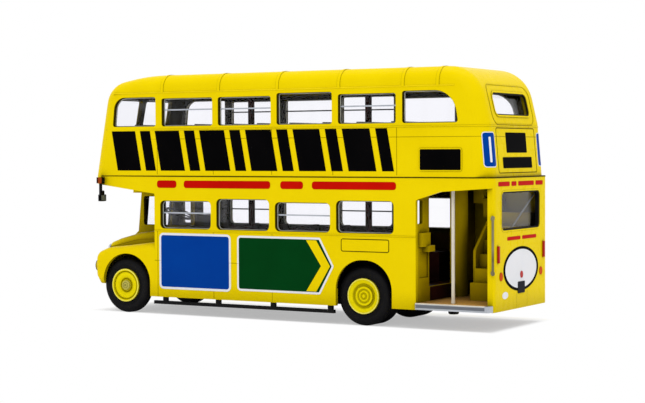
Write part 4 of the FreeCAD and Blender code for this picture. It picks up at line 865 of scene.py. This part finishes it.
def meet(nodes, start, aim):
    """The first of several nodes' skins met by a ray: its point and direction."""
    found = [hit for hit in (surface(node, start, aim) for node in nodes) if hit]
    return min(found, key=lambda hit: (hit[0] - Vector(start)).length) if found else None


def follow(nodes, height, rays, sink=0.0):
    """Points on the skin at one height, each met by a level ray (x, y, aim x, aim y)."""
    path = []
    for x, y, aim_x, aim_y in rays:
        met = meet(nodes, (x, y, height), (aim_x, aim_y, 0))
        if met:
            path.append(met[0] - met[1] * sink)
    return path


def round_the_tail(front):
    """Rays along the near side from the front, round the tail and back along the off side."""
    away, centre_x, centre_y, steps = 30, -50.5, 12.4, 12
    rays = [(x, away, 0, -1) for x in (front, 30, 10, -10, -30, -44, -50)]
    for step in range(steps + 1):
        angle = math.radians(90 * step / steps)
        right, ahead = math.sin(angle), math.cos(angle)
        rays.append((centre_x - away * right, centre_y + away * ahead, right, -ahead))
    rays += [(-90, y, 1, 0) for y in (9, 6, 3, 0)]
    return rays + [(x, -y, aim_x, -aim_y) for x, y, aim_x, aim_y in reversed(rays[:-1])]


UPPER, LOWER = ["upper_body"], ["lower_body", "canopy"]
TO_CANOPY = [(90, y, -1, 0) for y in (12.6, 6, 0, -6, -12.6)]
JOINT = DECK - 0.06
for name, nodes, height, rays, sink, radius, material in (
    ("upper_ledge", UPPER, 45.45, round_the_tail(50.0), 0.03, 0.17, YELLOW),
    ("upper_join", UPPER, 43.1, round_the_tail(50.0), 0.03, 0.06, YELLOW_SEAM),
    ("deck_joint", LOWER, JOINT, round_the_tail(NOSE - 3.6), 0.05, 0.15, JOINT_AND_SHADE_DARK),
    ("canopy_joint", ["canopy"], JOINT, TO_CANOPY, 0.05, 0.15, JOINT_AND_SHADE_DARK),
):
    tube(name, follow(nodes, height, rays, sink), radius, material)
for word, place, side in SIDES:
    for name, sunk, height, stops, radius, material in (
        ("gutter", 0.04, 54.45, (47.6, 20, 0, -20, -46.3), 0.14, GUTTER),
        ("lower_ledge", 0.02, 20.8, (35.2, 0, -36.6), 0.15, YELLOW),
        ("lower_line", 0.02, 13.4, (35.2, 0, -14.2), 0.06, YELLOW_SEAM),
    ):
        tube(f"{name}_{word}", [(x, side * (SIDE - sunk), height) for x in stops], radius, material)
    for name, low, high, bays in (("upper", 34.5, 45.2, 5), ("lower", SKIRT + 0.1, 20.6, 3)):
        at = [BULKHEAD - 0.95 - BAY * bay for bay in range(bays)]
        joints = [rect(x - 0.06, x + 0.06, low, high) for x in at]
        plates(f"{name}_joints_{word}", joints, place, YELLOW_SEAM, high=0.012)
joints = [rect(y - 0.04, y + 0.04, SKIRT + 0.2, 8.2) for y in (2.4, -3.4)]
plates("lower_rear_joints", joints, lower_rear, YELLOW_SEAM, high=0.012)

# -------- rear end


def end_place(nodes, start_x, beside):
    """A way to place (y, z, lift) on an end face that is level across.

    beside(y) says how far from the centre line it is measured.
    """
    aim = (-math.copysign(1, start_x), 0, 0)

    def place(u, v, w):
        point, normal = meet(nodes, (start_x, beside(u), v), aim)
        return Vector((point.x, u, v)) + normal * w
    return place


def beyond(windows):
    """Measured beside the windows, which end at a distance from the centre line."""
    return lambda y: math.copysign(max(abs(y), windows), y)


upper_rear = end_place(UPPER, -90, beyond(10.4))
upper_front = end_place(UPPER, 90, beyond(12.3))
# An upper rear corner: where it starts, its flat part, and the turn's radius and centre.
CORNER_FROM, FLAT, CORNER_RADIUS, CORNER_CENTRE = 11, 1.4, 3.6, 12.45


def corner_place(side):
    """A way to place (distance round the corner, z, lift) on an upper rear corner."""
    def place(u, v, w):
        if u <= FLAT:
            start, aim = (-90, side * (CORNER_FROM + u), v), (1, 0, 0)
        else:
            angle = (u - FLAT) / CORNER_RADIUS
            aim = (math.cos(angle), -side * math.sin(angle), 0)
            centre_x = upper_rear(0, v, 0).x + CORNER_RADIUS
            centre = Vector((centre_x, side * CORNER_CENTRE, v))
            start = centre - Vector(aim) * 20
        point, normal = meet(UPPER, start, aim)
        return point + normal * w
    return place


def patch(name, u0, u1, v0, v1, radius, place, material, low=-0.04, high=0.04, **kind):
    """A thin rounded panel that follows a curved face."""
    rows, middle, turns = 4, 10, 5
    ease = [radius * (1 - math.cos(math.pi / 2 * step / turns)) for step in range(turns)]
    columns = [u0 + spot for spot in ease]
    columns += [u0 + radius + (u1 - u0 - 2 * radius) * step / middle for step in range(middle + 1)]
    columns += [u1 - spot for spot in reversed(ease)]
    points = []
    for lift in (low, high):
        for u in columns:
            edge = min(u - u0, u1 - u, radius)
            trim = radius - math.sqrt(max(radius ** 2 - (radius - edge) ** 2, 0))
            foot, head = v0 + trim, v1 - trim
            points += [place(u, foot + (head - foot) * row / rows, lift) for row in range(rows + 1)]
    wide, tall = len(columns), rows + 1
    layer = wide * tall
    faces = []
    for i in range(wide - 1):
        for j in range(rows):
            a, b = i * tall + j, (i + 1) * tall + j
            faces += [(a, a + 1, b + 1, b), (layer + a, layer + b, layer + b + 1, layer + a + 1)]
        a, b = i * tall, (i + 1) * tall
        faces.append((a, b, layer + b, layer + a))
        faces.append((a + rows, layer + a + rows, layer + b + rows, b + rows))
    for j in range(rows):
        a, b = j, (wide - 1) * tall + j
        faces += [(a, layer + a, layer + a + 1, a + 1), (b, b + 1, layer + b + 1, layer + b)]
    return piece(name, points, faces, material, **kind)


def fine_frame(corners, outside, inside=0.0, step=0.5):
    """A frame's two outlines, with points no further apart than a step along the outer one."""
    outer, inner = frame_loop(corners, outside, inside)
    far, near = [], []
    for index, here in enumerate(outer):
        after = (index + 1) % len(outer)
        count = max(1, math.ceil((Vector(outer[after]) - Vector(here)).length / step))
        for part in range(count):
            far.append(tuple(Vector(here).lerp(Vector(outer[after]), part / count)))
            near.append(tuple(Vector(inner[index]).lerp(Vector(inner[after]), part / count)))
    return [far, near]


EXIT_PANE = four(-9.2, 9.2, 47.9, 52.8, 1.2)
EXIT_DOOR = four(-11.2, 11.2, 45.9, 54.6, 2.2)
REAR_BLINDS = four(-10.45, 10.45, 35.1, 44.9, 0.5)
for name, loop, material, low, high in (
    ("exit_frame", fine_frame(EXIT_PANE, 0.42, 0.06), YELLOW, SUNK, 0.16),
    ("exit_rubber", fine_frame(EXIT_PANE, 0.08, -0.22), RUBBER, -0.3, 0.02),
    ("exit_door", fine_frame(EXIT_DOOR, 0.12), YELLOW, SUNK, 0.1),
    ("exit_door_shade", fine_frame(EXIT_DOOR, 0.2, 0.12), YELLOW_SEAM, SUNK, 0.02),
    ("blind_case", fine_frame(REAR_BLINDS, 0.14), JOINT_AND_SHADE_DARK, SUNK, 0.04),
):
    plates(name, [loop], upper_rear, material, low, high)
for name, half, low, high, radius, place in (
    ("route_blind_rear", 5.6, 39.5, 44.0, 0.3, upper_rear),
    ("place_blind_rear", 8.0, 36.05, 38.5, 0.3, upper_rear),
    ("place_blind_front", 7.6, 36.3, 40.9, 0.4, upper_front),
    ("route_blind_front", 3.4, 41.9, 44.3, 0.3, upper_front),
):
    patch(name, -half, half, low, high, radius, place, BLACK, slot="black_plastic")
for word, _, side in SIDES:
    place = corner_place(side)
    patch(f"sign_border_{word}", 0.62, 4.62, 36.3, 44.1, 0.75, place, WHITE, high=0.03)
    patch(f"sign_{word}", 0.8, 4.45, 36.5, 43.9, 0.6, place, BLUE, high=0.05)
    patch(f"sign_bar_{word}", 2.3, 2.95, 37.4, 43.0, 0.2, place, WHITE, high=0.07)


def oval(y, z, half_y, half_z, count=64):
    turns = [math.tau * step / count for step in range(count)]
    return [(y + half_y * math.cos(turn), z + half_z * math.sin(turn)) for turn in turns]


STRIPE_ENDS = (6.3, 12.4), (2.6, 5.3), (-7.2, 1.6), (-12.4, -8.2)
STRIPES_REAR = [rect(y0, y1, 32.1, 33.1, 0.3) for y0, y1 in STRIPE_ENDS]
LINES_REAR = rect(-8.6, -0.6, 20.0, 20.8, 0.25), rect(0.4, 7.6, 20.0, 20.8, 0.25)
OVAL_RING, OVAL_PLATE = oval(0, 13.4, 9.7, 5.0), oval(0, 13.4, 8.7, 4.4)
REAR_PANE = four(-10.6, 10.6, 22.3, 30.85, 1.2)
for name, loops, material, low, high in (
    ("red_stripe_rear", STRIPES_REAR, RED, SUNK, FILM),
    ("red_line_rear", LINES_REAR, RED, SUNK, FILM),
    ("oval_plate", [OVAL_PLATE], WHITE, SUNK, FILM),
    ("oval_ring", [[OVAL_RING, OVAL_PLATE]], BLACK, SUNK, 0.045),
    ("number_plate_rear", [rect(-1.9, 1.9, 7.9, 10.5, 0.2)], PLATE, SUNK, 0.12),
    ("reflectors", [oval(y, 12.2, 0.75, 0.92, 24) for y in (11.0, -11.2)], ORANGE, SUNK, 0.16),
    ("centre_lamp", [oval(-0.1, 12.05, 0.66, 0.78, 24)], RED_LENS, SUNK, 0.2),
    ("rear_window_rubber", [fine_frame(REAR_PANE, 0.0, -0.3, 2)], RUBBER, -1.0, -0.12),
    ("rear_window_lip", [fine_frame(REAR_PANE, 0.3, 0.0, 2)], YELLOW, SUNK, 0.06),
):
    plates(name, loops, lower_rear, material, low, high)
plates("oval_label", [oval(8.7, 7.9, 1.55, 0.8, 32)], lower_rear, WHITE, slot="clear")
tube("stair_rail", [(-53.0, 0.7, 22.7), (-53.0, -12.4, 30.3)], 0.2, GREY_PLASTIC)

# -------- front end

SCREEN_AT, HEAD = -1.7, 28.6
screen_face = end_place(["cab"], 90, lambda y: SCREEN_AT)
screen = four(-13.65, -2.3, 20.1, HEAD, 0.8)
plates("screen_rubber", [fine_frame(screen, 0.3, -0.12, 1.5)], screen_face, RUBBER, -0.4, 0.08)
tube("wiper", [screen_face(-9.6, 20.4, 0.2), screen_face(-7.4, 25.2, 0.2)], 0.12, BLACK_PLASTIC)


def cab_near(u, v, w):
    return (u, -1.0 + w, v)


def cab_light(rear, front):
    return four(rear, front, 21.1, HEAD, 0.6)


LIGHT_REAR = BULKHEAD + 1.3
OFF_LIGHTS = cab_light(LIGHT_REAR, NOSE - 10.2), cab_light(NOSE - 9.2, NOSE - 6.4)
for hand, lights, place in (
    ("near", [cab_light(LIGHT_REAR, NOSE - 3.9)], cab_near), ("off", OFF_LIGHTS, off_side),
):
    shades = [frame_loop(light, 0.0, -0.12) for light in lights]
    plates(f"cab_shade_{hand}", shades, place, JOINT_AND_SHADE_DARK, -0.9, -0.2)
PANE_ENDS = (0.8, 11.9), (-11.9, -0.8)
FRONT_PANES = [four(y0, y1, UPPER_SILL, UPPER_HEAD, 0.6) for y0, y1 in PANE_ENDS]
FRONT_SHADES = [fine_frame(pane, 0.0, -0.12, 1.5) for pane in FRONT_PANES]
FRONT_BLINDS = four(-8.3, 8.3, 35.6, 44.9, 0.6)
for name, loops, material, low, high in (
    ("front_shade", FRONT_SHADES, JOINT_AND_SHADE_DARK, -0.9, -0.15),
    ("front_lip", [fine_frame(pane, 0.3, 0.0, 1.5) for pane in FRONT_PANES], YELLOW, SUNK, 0.07),
    ("front_blind_case", [fine_frame(FRONT_BLINDS, 0.16)], JOINT_AND_SHADE_DARK, SUNK, 0.04),
):
    plates(name, loops, upper_front, material, low, high)

LAMP_FACE, LAMP_HEIGHT = box_mm("headlamps")[1].x, 11.4
RIM = [(-0.06, 1.68), (0.02, 1.66), (0.04, 1.58), (0.03, 1.46), (-0.02, 1.4), (-0.06, 1.4)]
DOME = [(0.002, 1.4), (0.03, 0.95), (0.044, 0.0), (0.002, 0.0)]
for word, y in (("near", 12.87), ("off", -11.67)):
    def place(out, across, up, y=y):
        return (LAMP_FACE + out, y + across, LAMP_HEIGHT + up)

    for name, profile, material in (("rim", RIM, CHROME), ("dome", DOME, LAMP_PALE)):
        joined(f"lamp_{name}_{word}", [turned(profile, place, 48)], material, smooth=True)

hinge = [surface("bonnet", (x, 4.35, 40), (0, 0, -1)) for x in range(36, 55, 3)]
tube("bonnet_hinge", [met[0] for met in hinge if met], 0.14, YELLOW)
line = [(BULKHEAD + 0.2, 9.7, 18.5), (45, 9.7, 18.0), (53.4, 9.7, 16.0)]
tube("bonnet_line", line, 0.07, YELLOW_SEAM)
DOOR = four(LIGHT_REAR - 0.5, NOSE - 9.8, 9.2, 29.0, 0.8)
plates("cab_door", [frame_loop(DOOR, 0.07, -0.07)], off_side, YELLOW_SEAM, high=0.015)
tube("cab_door_handle", [(x, -SIDE - 0.18, 18.0) for x in (38.0, 40.2)], 0.16, SILVER)

# -------- stage, light and camera

# Metres, radians, and the lens and sensor in millimetres.
CAMERA_AT = Vector((-0.20275, 0.338, 0.03978))
YAW, PITCH, ROLL = 0.5334, -0.0304, -0.0037
LENS, SENSOR = 90.67, 36


def make_camera():
    """Stand where the object is seen from its rear nearside corner, a little above half height."""
    level = math.cos(PITCH)
    forward = Vector((math.sin(YAW) * level, -math.cos(YAW) * level, math.sin(PITCH)))
    right = forward.cross(Vector((0, 0, 1))).normalized()
    up = right.cross(forward)
    right, up = (
        math.cos(ROLL) * right + math.sin(ROLL) * up,
        -math.sin(ROLL) * right + math.cos(ROLL) * up,
    )
    data = bpy.data.cameras.new("camera")
    data.lens = LENS
    data.sensor_width = SENSOR
    data.clip_start, data.clip_end = 0.01, 20
    camera = bpy.data.objects.new("camera", data)
    bpy.context.scene.collection.objects.link(camera)
    turn = Matrix((right, up, -forward)).transposed()
    camera.matrix_world = Matrix.Translation(CAMERA_AT) @ turn.to_4x4()
    bpy.context.scene.camera = camera


LAMPS_AIM = Vector((0, 0, 0.03))


def area_light(name, at, size, power):
    """A soft rectangular lamp aimed at the object. Places in metres."""
    data = bpy.data.lights.new(name, "AREA")
    data.shape = "RECTANGLE"
    data.size, data.size_y = size
    data.energy = power
    lamp = bpy.data.objects.new(name, data)
    bpy.context.scene.collection.objects.link(lamp)
    lamp.location = at
    lamp.rotation_mode = "QUATERNION"
    lamp.rotation_quaternion = (LAMPS_AIM - Vector(at)).to_track_quat("-Z", "Y")


# The pale sky's level, and how much of the plain white the rays that only light also get.
SKY_LEVEL, SKY_WHITE = 0.55, 0.5


def make_world():
    """Even pale light, and plain white to the camera, in metal and through glass."""
    world = bpy.data.worlds.new("studio")
    bpy.context.scene.world = world
    world.use_nodes = True
    tree = world.node_tree
    tree.nodes.clear()
    path, seen = add_node(tree, "ShaderNodeLightPath").outputs, SKY_WHITE
    for word in ("Is Camera Ray", "Is Transmission Ray", "Is Glossy Ray"):
        wider = add_node(tree, "ShaderNodeMath", {"operation": "MAXIMUM"}, i0=path[word], i1=seen)
        seen = wider.outputs[0]
    pale, white = (
        add_node(tree, "ShaderNodeBackground", Color=(1, 1, 1, 1), Strength=level).outputs[0]
        for level in (SKY_LEVEL, 1.0)
    )
    mix = add_node(tree, "ShaderNodeMixShader", i0=seen, i1=pale, i2=white)
    add_node(tree, "ShaderNodeOutputWorld", Surface=mix.outputs[0])


# Where the floor keeps the object's shadow, lightened; beyond this box it is plain white to the
# camera, a painted shadow edge.
SHADOW_EDGE_BOX = {"X": (TAIL + 1.2, NOSE + 0.8), "Y": (3.0 - SIDE - 7.0, SIDE - 2.6)}


def make_floor(radius):
    """A round white floor that fades into plain white beyond the shadow box: a painted shadow edge.
    """
    points = [(0, 0, 0)]
    rings, steps = 12, 64
    turns = [math.tau * step / steps for step in range(steps)]
    for ring in range(1, rings + 1):
        reach = radius * ring / rings
        points += [(reach * math.cos(turn), reach * math.sin(turn), 0) for turn in turns]
    faces = [(0, 1 + step, 1 + (step + 1) % steps) for step in range(steps)]
    for ring in range(rings - 1):
        a, b = 1 + ring * steps, 1 + (ring + 1) * steps
        for step in range(steps):
            after = (step + 1) % steps
            faces.append((a + step, b + step, b + after, a + after))
    mesh = bpy.data.meshes.new("floor")
    mesh.from_pydata([Vector(point) * MM for point in points], [], faces)
    floor = bpy.data.objects.new("floor", mesh)
    bpy.context.scene.collection.objects.link(floor)
    made = Surface("floor_paper", Roughness=0.9)
    made.colour(made.ramp(made.noise(30), (0.3, (0.93, 0.93, 0.93)), (0.7, (0.95, 0.95, 0.95))))
    split = made.axes()
    past = None
    for axis, (low, high) in SHADOW_EDGE_BOX.items():
        away = made.calc("ABSOLUTE", made.calc("SUBTRACT", split[axis], (low + high) / 2 * MM))
        over = made.calc("SUBTRACT", away, (high - low) / 2 * MM)
        past = made.calc("MAXIMUM", over, past) if past else over
    # Inside the box a share of plain white lightens the real shadow.
    edge = {"i1": -1.0 * MM, "i2": 1.4 * MM, "i3": 0.44, "i4": 1.0}
    fade = made.add("ShaderNodeMapRange", {"clamp": True}, Value=past, **edge).outputs[0]
    path = made.add("ShaderNodeLightPath").outputs
    looked = made.calc("MAXIMUM", path["Is Camera Ray"], path["Is Transmission Ray"])
    seen = made.calc("MULTIPLY", fade, looked)
    glow = made.add("ShaderNodeEmission", Color=(1, 1, 1, 1), Strength=1.0).outputs[0]
    mix = made.add("ShaderNodeMixShader", i0=seen, i1=made.bsdf.outputs[0], i2=glow)
    made.tree.links.new(mix.outputs[0], made.tree.nodes["Material Output"].inputs["Surface"])
    mesh.materials.append(made.material)


make_camera()
make_world()
make_floor(1500)
area_light("key", (-0.22, 0.6, 0.68), (0.6, 0.6), 1.5)
area_light("top", (0.0, -0.1, 0.9), (0.9, 0.5), 3.4)
bpy.context.scene.view_settings.view_transform = "Standard"
